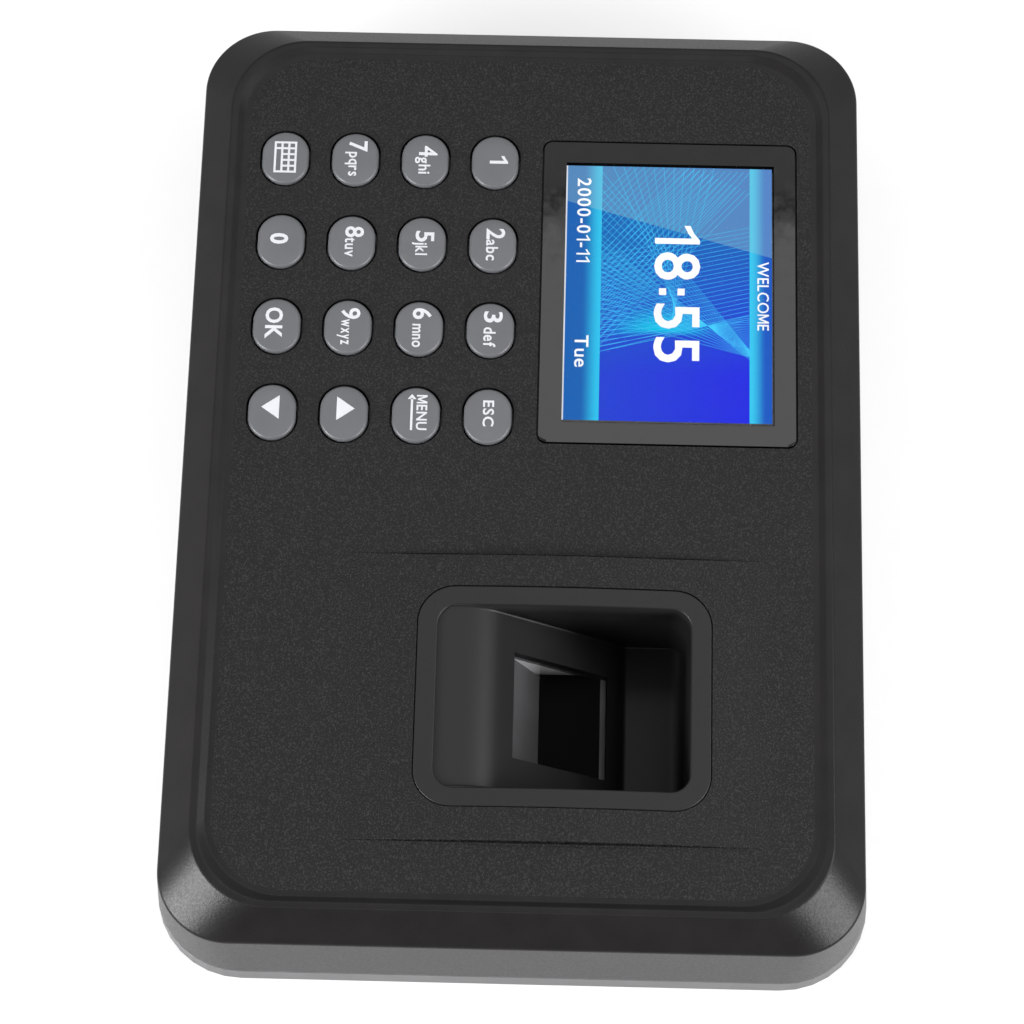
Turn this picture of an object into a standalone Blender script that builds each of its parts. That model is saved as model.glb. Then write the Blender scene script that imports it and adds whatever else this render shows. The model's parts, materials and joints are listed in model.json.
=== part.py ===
"""Fingerprint scanner terminal, lying on its back.

+Z comes out of the face, +X is the terminal's right-hand side as its user reads it, and +Y is its top.
The origin is under the middle of the back, on the plane that the back rests on. Lengths are in metres.
"""
import math

import bmesh
import bpy
from mathutils import Matrix, Vector

MM = 0.001
GAP = 0.3 * MM                  # clearance between pieces that touch
OVERRUN = 1.0 * MM              # how far a cutter runs past what it cuts

# Covers
BODY_HALF_X = 84.5 * MM
BODY_HALF_Y = 58.6 * MM
BODY_RADIUS = 12.3 * MM         # corner radius of the covers' outline, at the bevel's foot
BASE_RADIUS = 15.2 * MM         # and at the back
SIDE_FLARE = 2.6 * MM           # how far each long side leans out from the bevel's foot to the back
RIM_RADIUS = 13.4 * MM          # and of the rim's
FACE_Z = 31.1 * MM
ABOVE_Z = FACE_Z + 9.0 * MM     # clear of the whole face: cutters from above start here
RIM_RISE = 0.7 * MM             # how far the rim stands above the face
RIM_WIDTH = 1.1 * MM
RIM_SLOPE = 1.1 * MM            # width of the slope from the rim down to the face
BEVEL_X = 4.9 * MM              # width of the bevel at the two short sides
BEVEL_Y = 5.5 * MM              # and at the two long sides
BEVEL_FOOT_Z = 26.5 * MM        # top of the straight side wall
PARTING_Z = 6.2 * MM
WALL = 2.2 * MM
FACE_THICK = 2.5 * MM
SEAM_CHAMFER = 0.25 * MM        # edge of the back cover along the seam
BACK_FLOOR_Z = 3.6 * MM         # inner face of the back cover
LIP_TOP_Z = 8.6 * MM
LIP_THICK = 1.5 * MM
BACK_CHAMFER = 0.8 * MM
RIB_THICK = 1.6 * MM            # posts and rings that stand on the back cover

# Display
LENS_X, LENS_Y = -32.1 * MM, 24.9 * MM
LENS_HALF_X, LENS_HALF_Y = 28.7 * MM, 22.2 * MM
LENS_RADIUS = 1.5 * MM
LENS_THICK = 1.2 * MM
SCREEN_X, SCREEN_Y = -32.6 * MM, 24.9 * MM
PANEL_HALF_X, PANEL_HALF_Y = 30.1 * MM, 21.3 * MM
PANEL_THICK = 1.4 * MM
BACKLIGHT_THICK = 2.0 * MM
APERTURE_HALF_X, APERTURE_HALF_Y = 25.4 * MM, 19.3 * MM
APERTURE_RADIUS = 0.6 * MM
FRAME_WALL = 2.2 * MM
FRAME_FLOOR = 0.8 * MM
LEDGE_THICK = 0.5 * MM          # what is left of the face under the lens

# Keys: columns run along X, rows along Y
KEY_COLUMNS = [-56.4 * MM + column * 16.2 * MM for column in range(4)]
KEY_ROWS = [-6.0 * MM - row * 12.4 * MM for row in range(4)]
KEY_NAMES = (
    ("key_1", "key_2", "key_3", "key_esc"),
    ("key_4", "key_5", "key_6", "key_menu"),
    ("key_7", "key_8", "key_9", "key_up"),
    ("key_input", "key_0", "key_ok", "key_down"),
)
KEY_HALF_X, KEY_HALF_Y = 5.1 * MM, 4.12 * MM
KEY_EDGE = 0.3 * MM             # size of a key's worn top edge
END_ROUND = 0.01 * MM           # a round end stops this much short of a half circle
KEY_RISE = 0.6 * MM             # how far a key stands above the face
KEY_HOLE_GAP = 0.33 * MM
KEY_FLANGE = 0.8 * MM
KEY_FLANGE_THICK = 1.4 * MM
KEY_TRAVEL = 0.8 * MM
MAT_THICK = 0.6 * MM
MAT_MARGIN_X, MAT_MARGIN_Y = 7.0 * MM, 6.4 * MM
DOME_RISE = 0.4 * MM
DOME_RADIUS = 3.0 * MM
KEY_BOARD_THICK = 1.6 * MM
KEY_BOARD_LOW = (-69.0 * MM, -50.0 * MM)
KEY_BOARD_HIGH = (5.0 * MM, 0.6 * MM)
KEY_SCREW_X = (-66.2 * MM, 2.2 * MM)
KEY_SCREW_Y = (-46.0 * MM, -4.0 * MM)
KEY_POST_RADIUS, KEY_PILOT_DEPTH = 2.3 * MM, 3.6 * MM
KEY_SCREW_LONG = 4.6 * MM

# Finger well
WELL_X, WELL_Y = 42.65 * MM, 8.0 * MM
PAD_HALF_X = 25.05 * MM
PAD_Y, PAD_HALF_Y = 6.4 * MM, 34.6 * MM
PAD_RISE = 1.5 * MM             # height of the arch over the face
FLANGE_HALF_X, FLANGE_HALF_Y = 19.2 * MM, 24.75 * MM
FLANGE_RADIUS = 6.3 * MM
FLANGE_BASE_Z = 30.6 * MM
MOUTH_HALF_X, MOUTH_HALF_Y = 15.9 * MM, 21.3 * MM
MOUTH_RADIUS = 3.2 * MM
WELL_WALL = 1.8 * MM
SHELF_Z = 31.5 * MM
DEEP_Z = 12.0 * MM              # floor of the deep end
SLOPE = 0.79                    # fall of the slope for each unit along +Y
SLOPE_ANGLE = math.atan(SLOPE)
WINDOW_X, WINDOW_HALF_X = 42.75 * MM, 9.25 * MM
WINDOW_LOW_Y, WINDOW_HIGH_Y = -0.35 * MM, 15.6 * MM
WINDOW_TOP_Z = 27.35 * MM       # height of the slope at the window's upper end
ROLL_RADIUS = 9.0 * MM          # roll from the shelf to the slope
DEEP_RADIUS = 2.5 * MM
DEEP_SET_IN = 0.4 * MM          # the deep end's rounded corner stops this much short of its wall
SLOPE_FOOT_Y = 17.3 * MM        # where the slope turns down into the deep end
DEEP_FOOT_Y = 19.0 * MM         # where the deep end's level floor starts
UNDER_FOOT_Y = 17.0 * MM        # the same turn, on the well's underside
SHELF_THICK = 2.8 * MM
SNAP_Y = 12.0 * MM              # snaps that hold the well in the cover, from the well's middle
SNAP_HALF_Y, SNAP_STAND, SNAP_HIGH = 2.5 * MM, 0.9 * MM, 2.1 * MM

# Sensor
PRISM_SINK = 0.7 * MM           # the prism's face lies this much below the slope
PRISM_BASE_Z = 13.4 * MM
PRISM_FOOT_Y = 4.0 * MM         # where the prism's slanted end meets its base
HOUSING_LOW_Y, HOUSING_HIGH_Y = -12.6 * MM, 16.9 * MM
HOUSING_BASE_Z = 8.0 * MM
HOUSING_HALF_X = 11.6 * MM
HOUSING_SHOULDER_Y = -3.0 * MM  # where the housing's level top meets its slope
HOUSING_WALL = 1.5 * MM
PRISM_END_GAP = 1.2 * MM        # space between the prism's end and the window's
TUNNEL_HALF = 5.0 * MM
TUNNEL_HIGH = 4.2 * MM
SENSOR_LENS_LONG = 6.0 * MM
BASE_PAD_THICK = 0.8 * MM
SENSOR_LENS_RADIUS = 3.4 * MM
SENSOR_LENS_Z = 18.0 * MM
SENSOR_BOARD_THICK = 1.6 * MM
SENSOR_BOARD_SET_IN = 1.0 * MM

# Main board and what stands on it
BOARD_LOW = (-69.0 * MM, -52.0 * MM)
BOARD_HIGH = (16.0 * MM, 40.0 * MM)
BOARD_BASE_Z, BOARD_THICK = 8.0 * MM, 1.6 * MM
BOARD_SCREW_X = (-64.0 * MM, 11.0 * MM)
BOARD_SCREW_Y = (-46.0 * MM, 34.0 * MM)
CELL_X, CELL_Y = -45.0 * MM, 20.0 * MM
CELL_RADIUS, CELL_THICK = 10.0 * MM, 3.2 * MM
CELL_WALL, CELL_FLOOR, CELL_SEAT = 2.0 * MM, 1.0 * MM, 2.6 * MM
BOARD_POST_RADIUS, BOARD_SCREW_LONG = 3.0 * MM, 5.4 * MM
CHIP_SINK = 0.5 * MM            # how far a chip's block reaches into the board it is joined to
USB_X, JACK_X = -32.0 * MM, -8.0 * MM
SOCKET_WALL_Y = -BODY_HALF_Y - SIDE_FLARE / 2   # outer face of the wall, at the sockets
SOCKET_GAP = 0.4 * MM           # clearance of a socket in the wall
USB_HALF_X, USB_HIGH, USB_LONG = 6.55 * MM, 5.7 * MM, 14.0 * MM
USB_SKIN, USB_BACK = 0.5 * MM, 3.0 * MM
USB_TONGUE_HALF_X, USB_TONGUE_LOW, USB_TONGUE_THICK = 5.5 * MM, 3.1 * MM, 1.7 * MM
JACK_HALF_X, JACK_HIGH, JACK_LONG = 4.5 * MM, 11.0 * MM, 13.0 * MM
JACK_NOSE_RADIUS, JACK_BORE_RADIUS, JACK_BORE_DEEP = 4.0 * MM, 3.0 * MM, 10.0 * MM
JACK_PIN_RADIUS, JACK_PIN_LONG = 1.0 * MM, 9.0 * MM
SPEAKER_X, SPEAKER_Y, SPEAKER_RADIUS = 62.0 * MM, -32.0 * MM, 14.0 * MM
MAGNET_RADIUS = 7.4 * MM
SOUND_SLOTS, SOUND_PITCH, SOUND_HALF = 5, 4.4 * MM, 0.9 * MM

# Fasteners
BOSS_X, BOSS_Y, BOSS_RADIUS = 74.0 * MM, 48.0 * MM, 3.6 * MM
PILOT_TOP_Z = 17.0 * MM
SCREW_RADIUS, SCREW_HEAD_RADIUS, SCREW_HEAD_THICK = 1.35 * MM, 2.8 * MM, 1.3 * MM
SCREW_LONG, HEAD_SEAT_Z = 14.0 * MM, 1.6 * MM
HEAD_WELL_DEEP = 1.9 * MM
SMALL_SCREW_RADIUS, SMALL_HEAD_RADIUS, SMALL_HEAD_THICK = 0.9 * MM, 1.9 * MM, 1.2 * MM

# Wall plate
PLATE_HALF_X, PLATE_HALF_Y, PLATE_THICK = 45.0 * MM, 32.0 * MM, 1.2 * MM
PLATE_RADIUS = 3.0 * MM
PLATE_SLOT_X, PLATE_SLOT_Y = 35.0 * MM, 23.0 * MM
PLATE_SLOT_HALF_X, PLATE_SLOT_HALF_Y = 4.5 * MM, 2.2 * MM
CABLE_HOLE_RADIUS = 8.0 * MM
HOOK_X, HOOK_Y = 22.0 * MM, 26.0 * MM
HOOK_HALF_X, HOOK_LONG = 3.0 * MM, 4.4 * MM
HOOK_GAP = 0.6 * MM

# Flat leads
RIBBON_THICK = 0.2 * MM
RIBBON_OFF_BOARD = 0.5 * MM     # from the middle of a ribbon's end to the board that it reaches
LEAD_RADIUS = 0.9 * MM

FACE_INNER_Z = FACE_Z - FACE_THICK
KEY_FLANGE_TOP_Z = FACE_INNER_Z - GAP
KEY_BOTTOM_Z = KEY_FLANGE_TOP_Z - KEY_FLANGE_THICK
DOME_TOP_Z = KEY_BOTTOM_Z - KEY_TRAVEL - 0.2 * MM
MAT_TOP_Z = DOME_TOP_Z - DOME_RISE
KEY_BOARD_TOP_Z = MAT_TOP_Z - MAT_THICK - GAP
BOARD_TOP_Z = BOARD_BASE_Z + BOARD_THICK
LENS_BASE_Z = FACE_Z - LENS_THICK
LEDGE_BASE_Z = LENS_BASE_Z - GAP - LEDGE_THICK
PANEL_TOP_Z = LEDGE_BASE_Z - GAP
PANEL_BASE_Z = PANEL_TOP_Z - PANEL_THICK
BACKLIGHT_BASE_Z = PANEL_BASE_Z - GAP - BACKLIGHT_THICK
FRAME_BASE_Z = BACKLIGHT_BASE_Z - GAP - FRAME_FLOOR


def start_scene():
    for old in list(bpy.data.objects):
        bpy.data.objects.remove(old)
    parts = bpy.data.collections.new("fingerprint_terminal")
    tools = bpy.data.collections.new("cutters")
    bpy.context.scene.collection.children.link(parts)
    bpy.context.scene.collection.children.link(tools)
    return parts, tools


PARTS, TOOLS = start_scene()


def material(name, colour, roughness, metallic=0.0):
    made = bpy.data.materials.new(name)
    made.use_nodes = True
    shader = made.node_tree.nodes["Principled BSDF"]
    shader.inputs["Base Color"].default_value = (*colour, 1.0)
    shader.inputs["Roughness"].default_value = roughness
    shader.inputs["Metallic"].default_value = metallic
    return made


CASE_BLACK = material("case_black", (0.018, 0.018, 0.019), 0.45)
BACK_BLACK = material("back_black", (0.03, 0.03, 0.031), 0.5)
WELL_BLACK = material("well_black", (0.015, 0.015, 0.016), 0.5)
LENS_BLACK = material("lens_black", (0.01, 0.01, 0.012), 0.05)
SCREEN_BLUE = material("screen_blue", (0.02, 0.16, 0.75), 0.2)
LIGHT_PLASTIC = material("light_plastic", (0.5, 0.51, 0.53), 0.4)
KEY_GREY = material("key_grey", (0.15, 0.155, 0.16), 0.45)
RUBBER_GREY = material("rubber_grey", (0.3, 0.3, 0.31), 0.8)
BOARD_GREEN = material("board_green", (0.02, 0.16, 0.06), 0.4)
CONNECTOR_BLACK = material("connector_black", (0.02, 0.02, 0.02), 0.4)
PRISM_GLASS = material("prism_glass", (0.8, 0.85, 0.9), 0.02)
PAD_BLACK = material("pad_black", (0.005, 0.005, 0.006), 0.3)
STEEL = material("steel", (0.6, 0.6, 0.62), 0.3, 1.0)
PLATE_STEEL = material("plate_steel", (0.5, 0.51, 0.52), 0.35, 1.0)
RIBBON_WHITE = material("ribbon_white", (0.75, 0.75, 0.72), 0.5)
CONE_BLACK = material("cone_black", (0.03, 0.03, 0.03), 0.7)


def place(name, mesh, finish=None):
    """Link a mesh as a part, or as a hidden tool if it has no finish."""
    made = bpy.data.objects.new(name, mesh)
    if finish:
        mesh.materials.append(finish)
        PARTS.objects.link(made)
    else:
        TOOLS.objects.link(made)
        made.hide_render = True
        made.display_type = "WIRE"
    return made


def combine(target, tool, operation):
    step = target.modifiers.new(tool.name, "BOOLEAN")
    step.operation = operation
    step.solver = "EXACT"
    step.object = tool
    return target


def cut(target, *tools):
    for tool in tools:
        combine(target, tool, "DIFFERENCE")


def join(target, *tools):
    for tool in tools:
        combine(target, tool, "UNION")


def rounded(half_x, half_y, radius, steps):
    """Outline of a rounded rectangle, counter-clockwise from the middle of its right-hand end."""
    points = []
    for quarter in range(4):
        sign_x = 1 if quarter in (0, 3) else -1
        sign_y = 1 if quarter in (0, 1) else -1
        for step in range(steps + 1):
            angle = math.radians(90.0 * (quarter + step / steps))
            points.append((sign_x * (half_x - radius) + radius * math.cos(angle),
                           sign_y * (half_y - radius) + radius * math.sin(angle)))
    return points


def loft(name, centre, sections, steps, finish=None):
    """Closed body through rounded rectangles (half_x, half_y, radius, z), from bottom to top."""
    shape = bmesh.new()
    rings = []
    for half_x, half_y, radius, z in sections:
        outline = rounded(half_x, half_y, radius, steps)
        rings.append([shape.verts.new((centre[0] + x, centre[1] + y, z)) for x, y in outline])
    count = len(rings[0])
    for lower, upper in zip(rings, rings[1:]):
        for side in range(count):
            after = (side + 1) % count
            shape.faces.new((lower[side], lower[after], upper[after], upper[side]))
    shape.faces.new(rings[-1])
    shape.faces.new(reversed(rings[0]))
    bmesh.ops.remove_doubles(shape, verts=shape.verts, dist=0.001 * MM)
    mesh = bpy.data.meshes.new(name)
    shape.to_mesh(mesh)
    shape.free()
    return place(name, mesh, finish)


def box(name, low, high, finish=None):
    shape = bmesh.new()
    bmesh.ops.create_cube(shape, size=1.0)
    low, high = Vector(low), Vector(high)
    size = high - low
    bmesh.ops.scale(shape, vec=size, verts=shape.verts)
    bmesh.ops.translate(shape, vec=(low + high) / 2, verts=shape.verts)
    mesh = bpy.data.meshes.new(name)
    shape.to_mesh(mesh)
    shape.free()
    return place(name, mesh, finish)


def rod(name, foot, radius, length, sides=20, along="Z", finish=None):
    """Cylinder that starts at foot and runs along +Z or +Y."""
    shape = bmesh.new()
    bmesh.ops.create_cone(shape, cap_ends=True, segments=sides, radius1=radius, radius2=radius, depth=length)
    bmesh.ops.translate(shape, vec=(0, 0, length / 2), verts=shape.verts)
    if along == "Y":
        bmesh.ops.rotate(shape, matrix=Matrix.Rotation(-math.pi / 2, 3, "X"), verts=shape.verts)
    bmesh.ops.translate(shape, vec=foot, verts=shape.verts)
    mesh = bpy.data.meshes.new(name)
    shape.to_mesh(mesh)
    shape.free()
    mesh.shade_smooth()
    mesh.set_sharp_from_angle(angle=math.radians(40))
    return place(name, mesh, finish)


def extruded(name, outline, start, end, across="Z", finish=None):
    """Flat outline given a thickness: (x, y) between two heights, or (y, z) between two places along X."""
    drawing = bpy.data.curves.new(name + "_outline", "CURVE")
    drawing.dimensions = "2D"
    drawing.fill_mode = "BOTH"
    drawing.extrude = (end - start) / 2
    spline = drawing.splines.new("POLY")
    spline.points.add(len(outline) - 1)
    for point, (u, v) in zip(spline.points, outline):
        point.co = (u, v, 0.0, 1.0)
    spline.use_cyclic_u = True
    sketch = bpy.data.objects.new(name + "_outline", drawing)
    TOOLS.objects.link(sketch)
    middle = (start + end) / 2
    if across == "Z":
        sketch.matrix_world = Matrix.Translation((0, 0, middle))
    else:
        turn = Matrix.Rotation(math.pi / 2, 4, "Z") @ Matrix.Rotation(math.pi / 2, 4, "X")
        sketch.matrix_world = Matrix.Translation((middle, 0, 0)) @ turn
    bpy.context.view_layer.update()
    evaluated = sketch.evaluated_get(bpy.context.evaluated_depsgraph_get())
    mesh = bpy.data.meshes.new_from_object(evaluated)
    mesh.transform(sketch.matrix_world)
    mesh.materials.clear()
    bpy.data.objects.remove(sketch)
    shape = bmesh.new()
    shape.from_mesh(mesh)
    bmesh.ops.remove_doubles(shape, verts=shape.verts, dist=0.001 * MM)
    bmesh.ops.recalc_face_normals(shape, faces=shape.faces)
    shape.to_mesh(mesh)
    shape.free()
    return place(name, mesh, finish)


def plate(name, centre, half_x, half_y, radius, low_z, high_z, steps=4, finish=None):
    outline = [(centre[0] + x, centre[1] + y) for x, y in rounded(half_x, half_y, radius, steps)]
    return extruded(name, outline, low_z, high_z, finish=finish)


def screw(name, x, y, head_z, length, radius, head_radius, head_thick, up):
    """Pan-head screw whose head rests at head_z; up is the side that its head is on, +1 or -1."""
    profile = (
        (0.0, head_thick),
        (head_radius * 0.75, head_thick),
        (head_radius, head_thick * 0.6),
        (head_radius, 0.0),
        (radius, 0.0),
        (radius, -length + radius),
        (0.0, -length),
    )
    mesh = bpy.data.meshes.new(name)
    edges = [(index, index + 1) for index in range(len(profile) - 1)]
    mesh.from_pydata([(r, 0.0, z) for r, z in profile], edges, [])
    made = place(name, mesh, STEEL)
    turn = made.modifiers.new("turn", "SCREW")
    turn.steps = turn.render_steps = 12
    turn.use_merge_vertices = True
    turn.merge_threshold = 0.01 * MM
    turn.use_smooth_shade = False
    made.location = (x, y, head_z)
    made.rotation_euler = (0.0 if up > 0 else math.pi, 0.0, 0.0)
    return made


def turned(name, centre, profile, sides, finish):
    """Body of revolution about a vertical axis, from (radius, z) points that run from top to bottom."""
    mesh = bpy.data.meshes.new(name)
    edges = [(index, index + 1) for index in range(len(profile) - 1)]
    mesh.from_pydata([(r, 0.0, z) for r, z in profile], edges, [])
    made = place(name, mesh, finish)
    turn = made.modifiers.new("turn", "SCREW")
    turn.steps = turn.render_steps = sides
    turn.use_merge_vertices = True
    turn.merge_threshold = 0.01 * MM
    made.location = (centre[0], centre[1], 0.0)
    return made


def corners(x, y):
    return ((x, y), (-x, y), (-x, -y), (x, -y))


def slope_z(y):
    """Height of the finger slope at y."""
    return WINDOW_TOP_Z - SLOPE * (y - WINDOW_LOW_Y)


def arch_z(y):
    """Height of the arched pad at y."""
    return FACE_Z + PAD_RISE * (1 - ((y - PAD_Y) / PAD_HALF_Y) ** 2)


def arch_outline(drop, floor_z, steps=14):
    """Section of the arched pad, in (y, z), lowered by drop and closed at floor_z."""
    ys = [PAD_Y + PAD_HALF_Y * (2 * step / steps - 1) for step in range(steps + 1)]
    top = [(y, arch_z(y) - drop) for y in ys]
    return [(ys[0], floor_z), (ys[-1], floor_z)] + top[::-1]


def floor_line():
    """Floor of the well in (y, z), from the shelf's low-Y end to the deep end's high-Y wall."""
    low_y = WELL_Y - MOUTH_HALF_Y
    high_y = WELL_Y + MOUTH_HALF_Y
    crest_y = WINDOW_LOW_Y - (SHELF_Z - WINDOW_TOP_Z) / SLOPE
    reach = ROLL_RADIUS * math.tan(SLOPE_ANGLE / 2)
    points = [(low_y, SHELF_Z)]
    roll_steps = 6
    for step in range(roll_steps + 1):
        angle = SLOPE_ANGLE * step / roll_steps
        points.append((crest_y - reach + ROLL_RADIUS * math.sin(angle),
                       SHELF_Z - ROLL_RADIUS * (1 - math.cos(angle))))
    turn = 0.5 * MM
    points.append((SLOPE_FOOT_Y, slope_z(SLOPE_FOOT_Y)))
    points.append((DEEP_FOOT_Y - 1.4 * turn, DEEP_Z + turn))
    points.append((DEEP_FOOT_Y, DEEP_Z))
    corner_steps = 4
    for step in range(corner_steps + 1):
        angle = math.radians(90.0 * step / corner_steps)
        points.append((high_y - DEEP_SET_IN - DEEP_RADIUS * (1 - math.sin(angle)),
                       DEEP_Z + DEEP_RADIUS * (1 - math.cos(angle))))
    return points


def outline(z, set_in=0.0):
    """Section of the covers' outer wall at height z, or of a wall that lies inside it."""
    share = 1 - z / BEVEL_FOOT_Z
    radius = BODY_RADIUS + share * (BASE_RADIUS - BODY_RADIUS)
    return BODY_HALF_X - set_in, BODY_HALF_Y + share * SIDE_FLARE - set_in, radius - set_in, z


def make_front_cover():
    rim_x, rim_y = BODY_HALF_X - BEVEL_X, BODY_HALF_Y - BEVEL_Y
    rim_z = FACE_Z + RIM_RISE
    inner, slope = RIM_WIDTH, RIM_WIDTH + RIM_SLOPE
    cover = loft("front_cover", (0, 0), (
        outline(PARTING_Z + GAP / 2),
        outline(BEVEL_FOOT_Z),
        (rim_x, rim_y, RIM_RADIUS, rim_z),
        (rim_x - inner, rim_y - inner, RIM_RADIUS, rim_z),
        (rim_x - slope, rim_y - slope, RIM_RADIUS, FACE_Z),
    ), 8, CASE_BLACK)
    hollow = loft("cover_hollow", (0, 0), (
        outline(0.0, WALL),
        outline(BEVEL_FOOT_Z - WALL, WALL),
        (rim_x - WALL, rim_y - WALL, BODY_RADIUS - WALL, FACE_INNER_Z),
    ), 8)
    pad = extruded("pad", arch_outline(0.0, FACE_Z - FACE_THICK / 2),
                   WELL_X - PAD_HALF_X, WELL_X + PAD_HALF_X, "X")
    cut(cover, hollow)
    join(cover, pad)
    for index, (x, y) in enumerate(corners(BOSS_X, BOSS_Y)):
        boss = rod(f"boss_{index}", (x, y, BACK_FLOOR_Z + GAP), BOSS_RADIUS, FACE_INNER_Z - BACK_FLOOR_Z)
        pilot = rod(f"pilot_{index}", (x, y, 0.0), SCREW_RADIUS + GAP, PILOT_TOP_Z, 12)
        join(cover, boss)
        cut(cover, pilot)
    for x in KEY_SCREW_X:
        for y in KEY_SCREW_Y:
            post = rod("keypad_post", (x, y, KEY_BOARD_TOP_Z + GAP), KEY_POST_RADIUS,
                       FACE_INNER_Z - KEY_BOARD_TOP_Z, 12)
            pilot = rod("keypad_pilot", (x, y, KEY_BOARD_TOP_Z - GAP), SMALL_SCREW_RADIUS + GAP,
                        KEY_PILOT_DEPTH, 8)
            join(cover, post)
            cut(cover, pilot)
    cut_openings(cover)
    return cover


def cut_openings(cover):
    """Display window, key holes, well opening, and the two sockets' holes."""
    lens_seat = plate("lens_seat", (LENS_X, LENS_Y), LENS_HALF_X + GAP, LENS_HALF_Y + GAP,
                      LENS_RADIUS + GAP, LENS_BASE_Z - GAP, ABOVE_Z)
    aperture = plate("aperture", (SCREEN_X, SCREEN_Y), APERTURE_HALF_X, APERTURE_HALF_Y, APERTURE_RADIUS,
                     FACE_INNER_Z - GAP, ABOVE_Z, 2)
    panel_seat = box("panel_seat",
                     (SCREEN_X - PANEL_HALF_X - GAP, SCREEN_Y - PANEL_HALF_Y - GAP, FACE_INNER_Z - GAP),
                     (SCREEN_X + PANEL_HALF_X + GAP, SCREEN_Y + PANEL_HALF_Y + GAP, LEDGE_BASE_Z))
    flange_seat = plate("flange_seat", (WELL_X, WELL_Y), FLANGE_HALF_X + GAP, FLANGE_HALF_Y + GAP,
                        FLANGE_RADIUS + GAP, FLANGE_BASE_Z - GAP, ABOVE_Z, 5)
    outer = WELL_WALL + GAP
    well_hole = plate("well_hole", (WELL_X, WELL_Y), MOUTH_HALF_X + outer, MOUTH_HALF_Y + outer,
                      MOUTH_RADIUS + outer, FACE_INNER_Z - GAP, ABOVE_Z)
    cut(cover, lens_seat, aperture, panel_seat, flange_seat, well_hole)
    for row, y in enumerate(KEY_ROWS):
        for column, x in enumerate(KEY_COLUMNS):
            half_x, half_y = KEY_HALF_X + KEY_HOLE_GAP, KEY_HALF_Y + KEY_HOLE_GAP
            hole = plate(f"key_hole_{row}_{column}", (x, y), half_x, half_y, half_y - END_ROUND,
                         FACE_INNER_Z - GAP, ABOVE_Z, 5)
            cut(cover, hole)
    usb_x, usb_z = USB_HALF_X + SOCKET_GAP, BOARD_TOP_Z + GAP
    usb_hole = box("usb_hole", (USB_X - usb_x, -BODY_HALF_Y - WALL, usb_z - SOCKET_GAP),
                   (USB_X + usb_x, -BODY_HALF_Y + 2 * WALL, usb_z + USB_HIGH + SOCKET_GAP))
    jack_hole = rod("jack_hole", (JACK_X, -BODY_HALF_Y - WALL, BOARD_TOP_Z + GAP + JACK_HIGH / 2),
                    JACK_NOSE_RADIUS + SOCKET_GAP, 3 * WALL, 20, "Y")
    cut(cover, usb_hole, jack_hole)


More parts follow.
